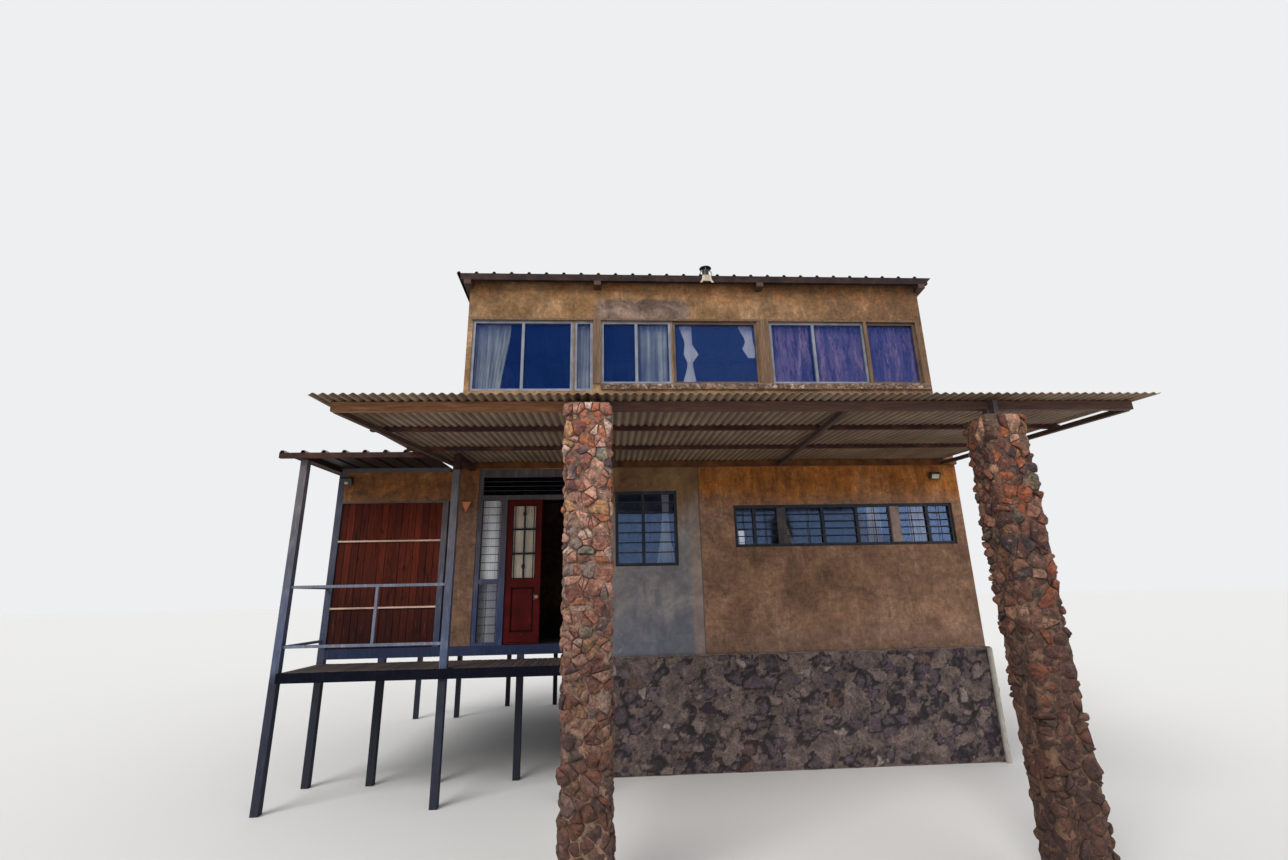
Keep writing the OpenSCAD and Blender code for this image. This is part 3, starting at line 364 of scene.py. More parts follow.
def painted_steel(name, high, low, light, wear=0.35, shine=0.3):
    """Brushed-on paint over steel, greyer high up and bluer near the deck, with drips, dust and rust spots."""
    look = Look(name, 0.62, {SHINE: shine})
    cloud = look.noise(4.0, 6, 0.6)
    brush = look.noise(9, 4, 0.6, (6, 6, 0.6))
    spot = look.noise(34, 6, 0.7)
    look.base = look.mix(look.along("Z", 3.4, 1.4), high, low)
    look.coat(brush.rise(0.48, 0.68) * 0.4, light)
    # Painted shade: nearly black below the deck
    look.coat(look.along("Z", 1.40, 1.20) * 0.85, (15, 17, 28))
    look.mottle((cloud, 0.6), (brush, 0.4))
    look.coat(spot.rise(0.62, 0.70) * cloud.rise(0.42, 0.62) * (wear * 2), (96, 60, 42))
    look.rough(spot, 0.52, 0.80)
    return look.done((brush, 0.0012), (spot, 0.0012))


def panel_steel():
    """The panel's steel frame, whose two flat bars are pale."""
    look = painted_steel("panel_steel", (82, 76, 76), (52, 60, 84), (100, 94, 96))
    left = rest_box("panel_frame")[0].x
    pale = look.noise(12, 5, 0.6, (0.4, 4, 4)).ramp((0.35, (164, 134, 118)), (0.65, (206, 176, 156)))
    for lift in FLAT_BARS:
        z = FLOOR + lift
        look.coat(inside(look, (left - 0.01, left + 1.288), (z - 0.002, z + 0.022), 0.002), pale)
    return look.done()


def rusty_steel(name, dark, mid, light):
    """Bare steel with flaking rust."""
    look = Look(name, 0.75, {SHINE: 0.2})
    cloud = look.noise(5, 7, 0.68)
    flake = look.noise(40, 6, 0.72)
    look.base = cloud.ramp((0.32, dark), (0.50, mid), (0.68, light))
    look.coat(flake.rise(0.56, 0.70) * 0.35, light)
    look.rough(flake, 0.6, 0.95)
    return look.done((cloud, 0.002), (flake, 0.002))


def zinc_sheet(name, dark, mid, light, underside_shade_share, wave_light_and_shade=0.0, underside_shade=(38, 28, 25)):
    """Weathered zinc sheet: dull spangle, dust, stains along the fall, painted shade on its underside, and painted
    light and shade along the underside's corrugations.
    """
    look = Look(name, 0.55, {"Metallic": 0.35})
    rust_share = 0.45
    cloud = look.noise(1.6, 6, 0.6)
    run = look.noise(3.0, 5, 0.65, (5.0, 0.6, 1.0))
    spot = look.noise(24, 6, 0.72)
    spangle = look.node("TexVoronoi", {"Vector": look.place, "Scale": 70})
    look.base = cloud.ramp((0.30, dark), (0.52, mid), (0.72, light))
    look.coat(spangle.rise(0.2, 0.7) * 0.14, light)
    look.coat(run.rise(0.48, 0.68) * rust_share, (112, 74, 50))
    # Painted shade on faces that look down
    normal = look.node("NewGeometry", {}, "True Normal")
    under = look.node("SeparateXYZ", {"Vector": normal}, "Z").rise(-0.1, -0.5)
    look.coat(under * underside_shade_share, underside_shade)
    # Painted light and shade on the underside, lighter and darker in turn across the corrugations
    turn = (look.axis("X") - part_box("porch_roof")[0].x) * (2 * pi / PORCH_WAVE)
    look.shade(turn.math("COSINE") * (under * wave_light_and_shade) + 1.0)
    look.coat(spot.rise(0.64, 0.72) * rust_share, (96, 54, 34))
    look.rough(cloud, 0.42, 0.78)
    return look.done((run, 0.0015), (spot, 0.0008))


def timber(name, axis, dark, mid, light):
    """Sawn wood with grain, checks and grey weathering along one axis."""
    look = Look(name, 0.8)
    fine = tuple(0.5 if letter == axis else 9 for letter in "XYZ")
    coarse = tuple(0.35 if letter == axis else 3 for letter in "XYZ")
    grain = look.noise(9, 6, 0.7, fine, 0.5)
    board = look.noise(3, 4, 0.6, coarse, 0.8)
    look.base = grain.ramp((0.32, dark), (0.52, mid), (0.72, light))
    look.coat(board.rise(0.42, 0.66) * 0.55, dark)
    look.coat(look.noise(12, 3, 0.5, fine).rise(0.63, 0.69) * 0.7, (30, 22, 20))
    return look.done((board, 0.004), (grain, 0.002))


def porch_timber():
    """The front beam: its left length is pale, its right one is darker."""
    look = Look("porch_timber", 0.8)
    grain = look.noise(9, 6, 0.7, (0.5, 9, 9), 0.5)
    knot = look.noise(2.4, 4, 0.6, (1.2, 4, 4), 1.5)
    look.base = grain.ramp((0.34, (96, 58, 32)), (0.52, (128, 86, 54)), (0.70, (158, 114, 76)))
    dark = grain.ramp((0.34, (56, 36, 30)), (0.52, (82, 54, 44)), (0.70, (108, 74, 58)))
    look.coat(look.along("X", 1.88, 1.90), dark)
    look.coat(knot.rise(0.56, 0.74) * 0.55, (76, 48, 34))
    return look.done((knot, 0.004), (grain, 0.003))


def red_boards():
    """Varnished boards, each with its own tint."""
    look = Look("red_boards", 0.7, {SHINE: 0.1})
    grain = look.noise(8, 6, 0.7, (10, 10, 0.5), 0.6)
    knot = look.noise(3.2, 4, 0.6, (4, 4, 1.1), 1.6)
    look.base = look.mix(look.attribute("tint"), (66, 22, 13), (104, 40, 23))
    look.coat(grain.rise(0.40, 0.65) * 0.6, (52, 18, 12))
    look.coat(knot.rise(0.55, 0.68) * 0.85, (30, 12, 12))
    # Darker towards the bottom
    look.coat(look.along("Z", 2.9, 1.5) * 0.75, (34, 17, 15))
    look.coat(look.noise(6, 5, 0.6, (8, 8, 0.6)).rise(0.58, 0.74) * 0.45, (128, 62, 40))
    look.rough(grain, 0.60, 0.85)
    return look.done((knot, 0.003), (grain, 0.0018))


def red_door():
    """Brushed red paint, scuffed low down; the bars between the panes are black and the knob is pale."""
    look = Look("red_door", 0.5, {SHINE: 0.08})
    brush = look.noise(7, 5, 0.6, (9, 9, 0.6))
    cloud = look.noise(5, 6, 0.6)
    look.base = cloud.ramp((0.32, (60, 9, 9)), (0.52, (75, 12, 12)), (0.72, (92, 19, 17)))
    look.coat(brush.rise(0.5, 0.7) * 0.3, (54, 14, 14))
    look.coat(look.noise(30, 6, 0.7).rise(0.64, 0.72) * look.along("Z", 1.95, 1.5) * 0.6, (130, 80, 68))
    # Both leaves at rest: the left one lies along X, the right one along Y
    edge, soft = 0.0015, 0.0005
    pane_z = (LEAF_FOOT + GLASS_LOW + edge, LEAF_FOOT + LEAF_H - STILE - edge)
    left, right = ([leaf_to_house(side, Vector((x, 0, 0))) for x in (STILE + edge, LEAF_W - STILE - edge)]
                   for side in ("left", "right"))
    panes = inside(look, (left[0].x - CORNER.x, left[1].x - CORNER.x), pane_z, soft)
    across = look.axis("Y").between(right[0].y, right[1].y, soft) * look.axis("Z").between(*pane_z, soft)
    look.coat(panes.math("MAXIMUM", across), (24, 22, 24))
    knob, reach = leaf_to_house("left", Vector((LEAF_W - 0.04, 0, 0.56))) - CORNER, 0.035
    pale = inside(look, (knob.x - reach, knob.x + reach), (knob.z - reach, knob.z + reach), 0.001)
    look.coat(pale * look.along("Y", knob.y - 0.002, knob.y - 0.004), (150, 132, 120))
    # A tint marks the open joints, painted black as their shade
    look.coat(look.attribute("tint"), (14, 5, 5))
    look.rough(cloud, 0.40, 0.60)
    return look.done((brush, 0.001), (cloud, 0.001))


def floor_boards():
    """Worn grey-brown planks, each with its own tint."""
    look = Look("floor_boards", 0.85)
    grain = look.noise(9, 6, 0.7, (9, 0.5, 9), 0.4)
    dust = look.noise(4, 6, 0.65)
    look.base = look.mix(look.attribute("tint"), (54, 44, 42), (84, 68, 60))
    look.coat(grain.rise(0.42, 0.66) * 0.6, (40, 32, 32))
    look.coat(dust.rise(0.52, 0.72) * 0.3, (112, 98, 88))
    return look.done((dust, 0.002), (grain, 0.003))


def aluminium():
    """Dull metal of the window frames; two windows of the upper row show only a brown edge."""
    look = Look("aluminium_frame", 0.5)
    cloud = look.noise(5, 6, 0.62)
    pit = look.noise(60, 5, 0.7)
    look.base = cloud.ramp((0.34, (96, 99, 110)), (0.55, (118, 121, 132)), (0.72, (140, 141, 148)))
    look.coat(pit.rise(0.60, 0.72) * 0.4, (88, 82, 80))
    brown = cloud.ramp((0.35, (58, 44, 38)), (0.65, (98, 74, 56)))
    for x_range in DULL_FRAMES:
        look.coat(inside(look, x_range, (4.9, 7.0), 0.002), brown)
    look.rough(cloud, 0.42, 0.66)
    return look.done((pit, 0.0006), (cloud, 0.0004))


def window_glass(name, deep, clear, cover, mirror, tint):
    """Blue glass that lets the curtains show through, with dust and smears."""
    look = Look(name, 0.05, {"IOR": mirror, "Specular Tint": srgb(*tint)})
    dust = look.noise(3.0, 6, 0.65)
    smear = look.noise(7.0, 4, 0.6, (1, 1, 0.5))
    look.base = dust.ramp((0.35, deep), (0.75, clear))
    # The third upper window is the palest
    pale = look.along("X", 2.0, 3.2) * look.along("X", 4.3, 4.2) * look.along("Z", 4.5, 4.6)
    look.coat(pale * 0.8, (50, 76, 132))
    look.rough(smear, 0.02, 0.12)
    look.alpha = dust * 0.08 + cover
    look.link("Alpha", look.alpha)
    return look.done((smear, 0.0006))


def door_glass():
    """The sidelight's clear panes, and the fanlight's dark ones above the transom."""
    look = window_glass("door_glass", (66, 72, 84), (88, 92, 100), cover=0.08, mirror=2.2, tint=(220, 230, 255))
    above = look.along("Z", TRANSOM - 0.01, TRANSOM + 0.01)
    # The sidelight's lower pane is darker and less clear
    below = look.along("Z", FLOOR + 0.74, FLOOR + 0.72)
    look.coat(below, (46, 48, 58))
    look.coat(above, (9, 9, 12))
    look.link("Alpha", (look.alpha + below * 0.26).math("MAXIMUM", above * 0.85))
    look.link(SHINE, above * -0.47 + 0.5)
    return look.done()


def cloth(name, dark, mid, light, fold_shade):
    """Woven cloth, with painted light and shade in long streaks down its pleats."""
    look = Look(name, 0.9, {SHEEN: 0.2})
    cloud = look.noise(3.5, 5, 0.6)
    weave = (look.noise(420, 2, 0.5, (1, 1, 0.2)) + look.noise(420, 2, 0.5, (0.2, 0.2, 1))) * 0.5
    look.base = cloud.ramp((0.32, dark), (0.52, mid), (0.72, light))
    look.coat(weave.rise(0.46, 0.62) * 0.12, dark)
    # Painted light and shade in long streaks down the pleats
    look.mottle((look.noise(5, 3, 0.5, (2.6, 2.6, 0.10), 0.25), fold_shade))
    return look.done((weave, 0.0008), (cloud, 0.0006))


def dyed_cotton():
    """Mottled dye in lilac and indigo that ran down the cloth."""
    look = Look("purple_cloth", 0.92, {SHEEN: 0.1})
    run = look.noise(2.6, 6, 0.62, (3.0, 3.0, 0.45), 1.0)
    fleck = look.noise(11, 6, 0.72, (3.0, 3.0, 0.6), 1.4)
    blot = look.noise(3.4, 4, 0.6, distortion=2.0)
    look.base = run.ramp((0.36, (86, 74, 116)), (0.46, (114, 94, 132)),
                         (0.56, (164, 132, 154)), (0.66, (206, 172, 184)))
    look.coat(blot.rise(0.58, 0.72) * 0.8, (46, 42, 84))
    look.coat(fleck.rise(0.53, 0.59) * 0.95, (22, 16, 52))
    return look.done((look.noise(380, 2, 0.5), 0.0008))


def plain_look(name, dark, light, roughness, scale=12, depth=0.001, metallic=0.0):
    """Two close tones with a fine grain, for small fittings."""
    look = Look(name, roughness, {"Metallic": metallic})
    look.base = look.noise(scale, 5, 0.62).ramp((0.36, dark), (0.66, light))
    look.rough(look.noise(scale * 3, 4, 0.6), roughness - 0.12, roughness + 0.12)
    return look.done((look.noise(scale * 5, 4, 0.65), depth))


# From the commonest stone to the rarest, each stop is one kind of stone
PILLAR_STONES = (
    (0.00, (152, 108, 92)), (0.16, (166, 124, 106)), (0.30, (138, 90, 74)), (0.42, (150, 88, 58)),
    (0.54, (120, 74, 60)), (0.63, (150, 112, 78)), (0.71, (126, 108, 98)), (0.79, (180, 152, 136)),
    (0.86, (102, 60, 52)), (0.92, (78, 60, 68)), (0.97, (110, 104, 90)),
)
# The right pillar's stones: partly darker stones, partly painted shade over the whole palette
DARK_SHADED_PILLAR_STONES = (
    (0.00, (106, 66, 50)), (0.14, (126, 84, 66)), (0.26, (88, 50, 38)), (0.38, (124, 64, 36)),
    (0.50, (70, 42, 36)), (0.60, (120, 80, 50)), (0.68, (84, 64, 54)), (0.78, (148, 110, 88)),
    (0.85, (66, 36, 30)), (0.92, (50, 38, 42)), (0.97, (74, 66, 52)),
)
RUBBLE_STONES = (
    (0.00, (76, 64, 70)), (0.20, (94, 80, 80)), (0.38, (56, 44, 52)), (0.54, (112, 96, 92)),
    (0.70, (88, 66, 60)), (0.80, (46, 36, 44)), (0.90, (134, 120, 114)),
)
LEDGE_MUD = ((0.0, (104, 82, 66)), (0.4, (126, 102, 86)), (0.7, (84, 64, 52)), (0.9, (156, 138, 126)))
ROOF_TONES = (104, 94, 88), (134, 124, 116), (160, 150, 142)

LOOKS = {look.name: look.material for look in (
    ochre_adobe(), grey_plaster(), rubble(), post_plaster(), panel_steel(), porch_timber(), floor_boards(),
    red_boards(), red_door(), aluminium(), door_glass(), dyed_cotton(),
    stone("pillar_stone", PILLAR_STONES, (144, 70, 36), (184, 152, 130)),
    # The right pillar's stones, a darker copy that is partly painted shade
    stone("dark_pillar_stone", DARK_SHADED_PILLAR_STONES, (106, 52, 30), (142, 112, 94)),
    stone("ledge_mud", LEDGE_MUD, (96, 72, 56), (156, 134, 120)),
    mortar("pillar_mortar", (52, 38, 34), (136, 106, 88)),
    # The right pillar's mortar, a darker copy that is partly painted shade
    mortar("dark_pillar_mortar", (36, 25, 21), (110, 80, 62)),
    mortar("rubble_mortar", (70, 60, 62), (124, 108, 102)),
    mortar("rough_ledge", (78, 60, 48), (134, 110, 94)),
    painted_steel("blue_steel", (88, 82, 84), (66, 76, 102), (110, 108, 114)),
    painted_steel("stilt_steel", (58, 60, 72), (48, 54, 74), (74, 76, 88)),
    painted_steel("rail_steel", (104, 100, 104), (92, 100, 120), (132, 130, 134)),
    painted_steel("door_steel", (70, 64, 66), (42, 56, 92), (88, 84, 88)),
    painted_steel("floor_steel", (34, 42, 62), (26, 39, 68), (48, 58, 84)),
    painted_steel("deck_steel", (22, 22, 28), (14, 16, 26), (32, 32, 40), wear=0.2, shine=0.03),
    painted_steel("dark_frame", (40, 42, 50), (40, 42, 52), (60, 60, 68)),
    painted_steel("window_bars", (38, 38, 46), (42, 44, 54), (66, 66, 76)),
    rusty_steel("rusty_steel", (40, 26, 27), (64, 40, 38), (96, 58, 42)),
    rusty_steel("fascia_steel", (24, 17, 18), (40, 28, 28), (66, 44, 38)),
    rusty_steel("wing_steel", (30, 17, 15), (48, 27, 23), (76, 42, 33)),
    rusty_steel("ledger_steel", (58, 36, 20), (86, 52, 26), (116, 72, 34)),
    zinc_sheet("roof_sheet", *ROOF_TONES, underside_shade_share=0.97),
    zinc_sheet("wing_sheet", *ROOF_TONES, underside_shade_share=0.98, underside_shade=(27, 13, 9)),
    zinc_sheet("porch_sheet", (112, 94, 78), (138, 118, 98), (162, 142, 120), underside_shade_share=0.12, wave_light_and_shade=0.38),
    timber("trim_timber", "Z", (72, 50, 36), (106, 80, 56), (144, 116, 86)),
    timber("dark_timber", "Y", (48, 32, 28), (72, 48, 38), (96, 66, 50)),
    window_glass("window_glass", (18, 46, 102), (30, 60, 118), cover=0.26, mirror=1.5, tint=(60, 120, 255)),
    window_glass("lower_glass", (30, 42, 66), (46, 60, 88), cover=0.18, mirror=4.4, tint=(160, 196, 255)),
    cloth("curtain_cloth", (160, 168, 156), (184, 190, 176), (206, 208, 192), fold_shade=1.6),
    cloth("white_lace", (226, 226, 228), (238, 238, 238), (247, 246, 242), fold_shade=0.5),
    cloth("cream_lace", (214, 192, 160), (228, 208, 178), (240, 226, 200), fold_shade=0.6),
    plain_look("black_plastic", (24, 24, 26), (40, 40, 42), 0.5),
    plain_look("black_iron", (22, 22, 26), (44, 42, 44), 0.45, metallic=0.4),
    plain_look("terracotta", (176, 92, 56), (206, 126, 84), 0.75, scale=25, depth=0.002),
    plain_look("drain_plastic", (148, 142, 132), (176, 168, 158), 0.6),
    plain_look("lamp_glass", (150, 140, 116), (196, 184, 152), 0.25),
    plain_look("pale_sheet", (150, 138, 116), (196, 184, 160), 0.6),
)}


# Meshes

def circle(radius, sides):
    """Points of a regular polygon round the origin."""
    turns = (2 * pi * i / sides for i in range(sides))
    return [(radius * cos(turn), radius * sin(turn)) for turn in turns]


def row_faces(rows, columns, around=True):
    """Faces between rows of points. The last column meets the first one if the rows go around."""
    faces = []
    for row in range(rows - 1):
        a, b = row * columns, (row + 1) * columns
        for i in range(columns if around else columns - 1):
            j = (i + 1) % columns
            faces.append((a + i, a + j, b + j, b + i))
    return faces


def end_faces(rows, columns):
    """The first and the last row of points as faces that close a tube."""
    return [tuple(reversed(range(columns))), tuple(range((rows - 1) * columns, rows * columns))]


class Shape:
    """Vertices and faces of one joined mesh, with a tint and a look's number for each face."""

    def __init__(self):
        self.verts, self.faces, self.tints, self.slots = [], [], [], []

    def add(self, verts, faces, tint=0.0, slot=0):
        start = len(self.verts)
        self.verts.extend(Vector(v) for v in verts)
        self.faces.extend([start + i for i in face] for face in faces)
        self.tints.extend([tint] * len(faces))
        self.slots.extend([slot] * len(faces))

    def box(self, low, high, tint=0.0, slot=0):
        x0, y0, z0 = low
        x1, y1, z1 = high
        verts = [at(x, y, z) for z in (z0, z1) for x, y in ((x0, y0), (x1, y0), (x1, y1), (x0, y1))]
        faces = [(0, 3, 2, 1), (4, 5, 6, 7), (0, 1, 5, 4), (1, 2, 6, 5), (2, 3, 7, 6), (3, 0, 4, 7)]
        self.add(verts, faces, tint, slot)

    def rod(self, start, end, radius, sides=10):
        """A round bar between two points of the house."""
        a, b = CORNER + Vector(start), CORNER + Vector(end)
        turn = (b - a).to_track_quat("Z", "Y")
        ring = [turn @ Vector((x, y, 0)) for x, y in circle(radius, sides)]
        self.add([middle + v for middle in (a, b) for v in ring], row_faces(2, sides) + end_faces(2, sides))

    def turned(self, foot, profile, sides, axis=(0, 0, 1), slot=0):
        """A turned form: profile pairs are radius and distance along the axis from the foot."""
        base = CORNER + Vector(foot)
        turn = Vector(axis).to_track_quat("Z", "Y")
        verts = [base + turn @ Vector((x, y, along)) for radius, along in profile for x, y in circle(radius, sides)]
        rows = len(profile)
        self.add(verts, row_faces(rows, sides) + end_faces(rows, sides), slot=slot)

    def piece(self, name, *looks, slot, body=HOUSE, node=None, smooth=None, bevel=None):
        """The finished object, which may stand for a CAD node; smooth is the angle of its sharp edges."""
        mesh = bpy.data.meshes.new(name)
        mesh.from_pydata(self.verts, [], self.faces)
        for look in looks:
            mesh.materials.append(LOOKS[look])
        mesh.polygons.foreach_set("material_index", self.slots)
        mesh.attributes.new("tint", "FLOAT", "FACE").data.foreach_set("value", self.tints)
        if smooth:
            mesh.polygons.foreach_set("use_smooth", [True] * len(self.faces))
            mesh.set_sharp_from_angle(angle=radians(smooth))
        mesh.update()
        piece = bpy.data.objects.new(name, mesh)
        bpy.context.scene.collection.objects.link(piece)
        if bevel:
            edge = piece.modifiers.new("soft_edges", "BEVEL")
            edge.width = bevel
            edge.segments = 2
            edge.limit_method = "ANGLE"
        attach(piece, body)
        if node:
            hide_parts(node)
        return piece


# Stones

def clip(polygon, normal, limit):
    """The part of a flat polygon where its points times the normal stay within the limit."""
    kept = []
    for i, (u, v) in enumerate(polygon):
        nu, nv = polygon[(i + 1) % len(polygon)]
        here = u * normal[0] + v * normal[1] - limit
        there = nu * normal[0] + nv * normal[1] - limit
        if here <= 0:
            kept.append((u, v))
        if here * there < 0:
            share = here / (here - there)
            kept.append((u + (nu - u) * share, v + (nv - v) * share))
    return kept


def halves(polygon, rng):
    """A polygon cut in two by a random line through its middle."""
    angle = rng.uniform(0, pi)
    a, b = cos(angle), sin(angle)
    middle = sum(u * a + v * b for u, v in polygon) / len(polygon)
    parts = clip(polygon, (a, b), middle), clip(polygon, (-a, -b), -middle)
    return [part for part in parts if len(part) > 2]


def stone_cells(width, height, size, rng, around, kept, cut):
    """Irregular polygons that fill a strip: a share of the seeds is kept, a share of the stones cut in two."""
    rows = max(1, round(height / size))
    columns = max(3, round(width / (size * 1.2)))
    stray, unlike = 0.36, 0.28
    seeds = []
    for row in range(rows):
        for column in range(columns):
            u = (column + 0.5 * (row % 2) + rng.uniform(-stray, stray)) * width / columns
            v = (row + 0.5 + rng.uniform(-stray, stray)) * height / rows
            weight = rng.uniform(-unlike, unlike) * size * size
            if rng.random() < kept:
                seeds.append((u, v, weight))
    reach = 3.2 * size
    cells = []
    for u, v, weight in seeds:
        low, high = max(0, v - reach), min(height, v + reach)
        polygon = [(u - reach, low), (u + reach, low), (u + reach, high), (u - reach, high)]
        for ou, ov, other in seeds:
            du, dv = ou - u, ov - v
            if around:
                du = (du + width / 2) % width - width / 2
            square = du * du + dv * dv
            if 0 < square < reach * reach:
                half = (square + weight - other) / 2
                polygon = clip(polygon, (du, dv), u * du + v * dv + half)
                if len(polygon) < 3:
                    break
        if not around:
            polygon = clip(clip(polygon, (1, 0), width), (-1, 0), 0) if len(polygon) > 2 else []
        if len(polygon) > 2:
            cells += halves(polygon, rng) if rng.random() < cut else [polygon]
    return cells


def rounded(polygon, corner):
    """Cuts each corner of a polygon by a share of its sides and adds a point in the middle of each side."""
    points = []
    for i, (u, v) in enumerate(polygon):
        nu, nv = polygon[(i + 1) % len(polygon)]
        for share in (corner, 0.5, 1 - corner):
            points.append((u + (nu - u) * share, v + (nv - v) * share))
    return points


# Rings of a stone from its rim to near its middle: share of the outline, share of the height
STONE_RINGS = ((1.00, 0.62), (0.90, 0.94), (0.66, 1.0), (0.36, 1.0))


def stone_face(lift, rng, slope):
    """Height of a broken stone face over a place from its middle: the lowest of a few tilted planes."""
    planes = []
    turn = rng.uniform(0, 2 * pi)
    for i in range(4):
        angle = turn + i * pi / 2 + rng.uniform(-0.6, 0.6)
        steep = rng.uniform(0.1, 1.0) * slope
        planes.append((cos(angle) * steep, sin(angle) * steep, lift * rng.uniform(0.9, 1.35)))

    def height(du, dv):
        return max(0.25 * lift, min(lift * 1.1, min(top - du * a - dv * b for a, b, top in planes)))

    return height


def lay_stones(shape, cells, place, rng, joint, relief, slope, corner, wobble):
    """One stone for each cell, with a face of a few tilted planes, that stands out of the mortar."""
    root, roughness = 0.35, 0.22
    for polygon in cells:
        count = len(polygon)
        cu = sum(p[0] for p in polygon) / count
        cv = sum(p[1] for p in polygon) / count
        radius = min(hypot(p[0] - cu, p[1] - cv) for p in polygon)
        if radius < joint * 1.6:
            continue
        inset = 1 - joint / radius * 0.75
        lift = min(relief * rng.uniform(0.5, 1.15), 1.3 * radius)
        height = stone_face(lift, rng, slope)
        seed = rng.uniform(0, 50)
        outline = []
        for u, v in rounded(polygon, corner):
            du, dv = (u - cu) * inset, (v - cv) * inset
            swell = 1 + wobble * noise.noise(Vector((du * 24, dv * 24 + seed, seed)))
            outline.append((du * swell, dv * swell))
        verts = [place(cu + du, cv + dv, -root * lift) for du, dv in outline]
        for share, level in STONE_RINGS:
            for du, dv in outline:
                x, y = du * share, dv * share
                rough = noise.noise(Vector((x * 30 + seed, y * 30, seed)))
                verts.append(place(cu + x, cv + y, height(x, y) * level + rough * relief * roughness))
        verts.append(place(cu, cv, height(0, 0)))
        n, rings = len(outline), len(STONE_RINGS)
        faces = row_faces(rings + 1, n)
        faces += [(rings * n + i, rings * n + (i + 1) % n, len(verts) - 1) for i in range(n)]
        tint = rng.random()
        shape.add(verts, faces, tint)
        # The sides of a stone have a tint under zero, which its look darkens as painted shade
        shape.tints[-len(faces):n - len(faces)] = [tint - 2] * n


def block_outline(low, high, radius):
    """Length of a block's rounded outline, and the function from a place along it to a point of it."""
    x0, y0, x1, y1 = low.x + radius, low.y + radius, high.x - radius, high.y - radius
    arc = pi * radius / 2
    legs = [(hypot(bx - ax, by - ay), ax, ay, bx, by, nx, ny) for ax, ay, bx, by, nx, ny in (
        (x0, y0, x1, y0, 0, -1), (x1, y0, x1, y1, 1, 0), (x1, y1, x0, y1, 0, 1), (x0, y1, x0, y0, -1, 0))]
    total = sum(leg[0] for leg in legs) + 4 * arc

    def point(s, out):
        s = s % total
        reach = radius + out
        for length, ax, ay, bx, by, nx, ny in legs:
            if s < length:
                t = s / length
                return ax + (bx - ax) * t + nx * reach, ay + (by - ay) * t + ny * reach
            s -= length
            if s < arc:
                turn = s / arc * pi / 2
                rx = nx * cos(turn) - ny * sin(turn)
                ry = nx * sin(turn) + ny * cos(turn)
                return bx + rx * reach, by + ry * reach
            s -= arc
        return x0, y0 - reach

    return total, point


# Radius of the upright corners of the pillars' mortar and of the foundation
BLOCK_CORNER = 0.02


def stone_pillar(name, node, seed, size, kind):
    """A pillar of field stones round a mortar core. Its stones reach the CAD pillar's faces."""
    rng = random.Random(seed)
    low, high = rest_box(node)
    depth, joint, bulge, skin = 0.036, 0.005, 0.012, 0.008
    inset = Vector((depth, depth, 0))
    total, outline = block_outline(low + inset, high - inset, BLOCK_CORNER)
    height = high.z

    def place(u, v, out):
        x, y = outline(u, out + bulge * noise.noise(Vector((u * 2.2, v * 2.2, seed))))
        return at(x, y, min(height, max(0.0, v)))

    shape = Shape()
    cells = stone_cells(total, height, size, rng, around=True, kept=0.90, cut=0.45)
    lay_stones(shape, cells, place, rng, joint, depth, slope=0.7, corner=0.07, wobble=0.10)
    # Mortar core
    row_height = 0.045
    columns, rows = 72, int(height / row_height)
    core = []
    for row in range(rows + 1):
        v = height * row / rows
        for column in range(columns):
            u = total * column / columns
            core.append(place(u, v, bulge * noise.noise(Vector((u * 14, v * 14, seed + 3))) + skin))
    faces = row_faces(rows + 1, columns) + end_faces(rows + 1, columns)[::-1]
    shape.add(core, faces, slot=1)
    shape.piece(name, kind + "_stone", kind + "_mortar", slot="pillar_stone", node=node, smooth=28)


# Where the three noises of a drift are read, away from the place itself
DRIFT_SHIFTS = (9.3, -1.5, -8.0), (-7.3, 3.3, 2.7), (3.1, 6.6, -4.4)


def drift(spot):
    """A smooth random vector over space, the same on every run."""
    return Vector([noise.noise(spot + Vector(shift)) for shift in DRIFT_SHIFTS])


def foundation_stones():
    """Rubble on all four faces of the foundation ring: lumpy stones half buried in pale mortar."""
    low, high = rest_box("stone_foundation")
    total, outline = block_outline(low, high, BLOCK_CORNER)
    height = high.z - 0.003
    step, size, relief = 0.024, 0.165, 0.042
    columns, rows = round(total / step), round(height / step)
    turns = total / (2 * pi * size)

    def lump(u, v):
        """How far the wall stands out here, the stone's tint, how far mortar buries it, and how much painted shade
        its gap gets.
        """
        a = 2 * pi * u / total
        spot = Vector((turns * cos(a), turns * sin(a), v / size * 1.2))
        spot += 0.45 * drift(spot * 0.9) + 0.16 * drift(spot * 3.1)
        distances, points = noise.voronoi(spot)
        tint = noise.cell(points[0] * 37.0)
        crack = min(1.0, 2.8 * max(0.0, distances[1] - distances[0]))
        rise = 0.35 + 0.65 * noise.cell(points[0] * 53.0 + Vector((7, 3, 1)))
        stone = relief * rise * crack ** 0.45 + 0.006 * noise.noise(spot * 5.0)
        bed = 0.010 + 0.022 * noise.noise(spot * 0.75 + Vector((3, 8, 5))) + 0.005 * noise.noise(spot * 4.0)
        bed = max(bed, 0.026 * min(1.0, max(0.0, 1 - (height - v) / 0.05)))
        buried = (bed - stone) / relief
        return max(stone, bed, 0.003), tint, buried, (1 - crack) * min(1.0, max(0.0, 1 - 6 * buried))

    places = [(row, total * column / columns) for row in range(rows + 1) for column in range(columns)]
    lumps = [lump(u, height * row / rows) for row, u in places]
    verts = []
    for (row, u), values in zip(places, lumps):
        # The first and the last row close the rubble against the wall
        x, y = outline(u, values[0] if 0 < row < rows else -0.01)
        verts.append(at(x, y, height * row / rows))
    shape = Shape()
    shape.add(verts, row_faces(rows + 1, columns))
    shape.tints = [values[1] for values in lumps[:rows * columns]]
    piece = shape.piece("foundation_stones", "rubble_stone", slot="rubble_stone", smooth=50)
    # The gap layer holds the painted shade of the cracks
    for name, index in (("buried", 2), ("gap", 3)):
        layer = piece.data.attributes.new(name, "FLOAT", "POINT")
        layer.data.foreach_set("value", [values[index] for values in lumps])


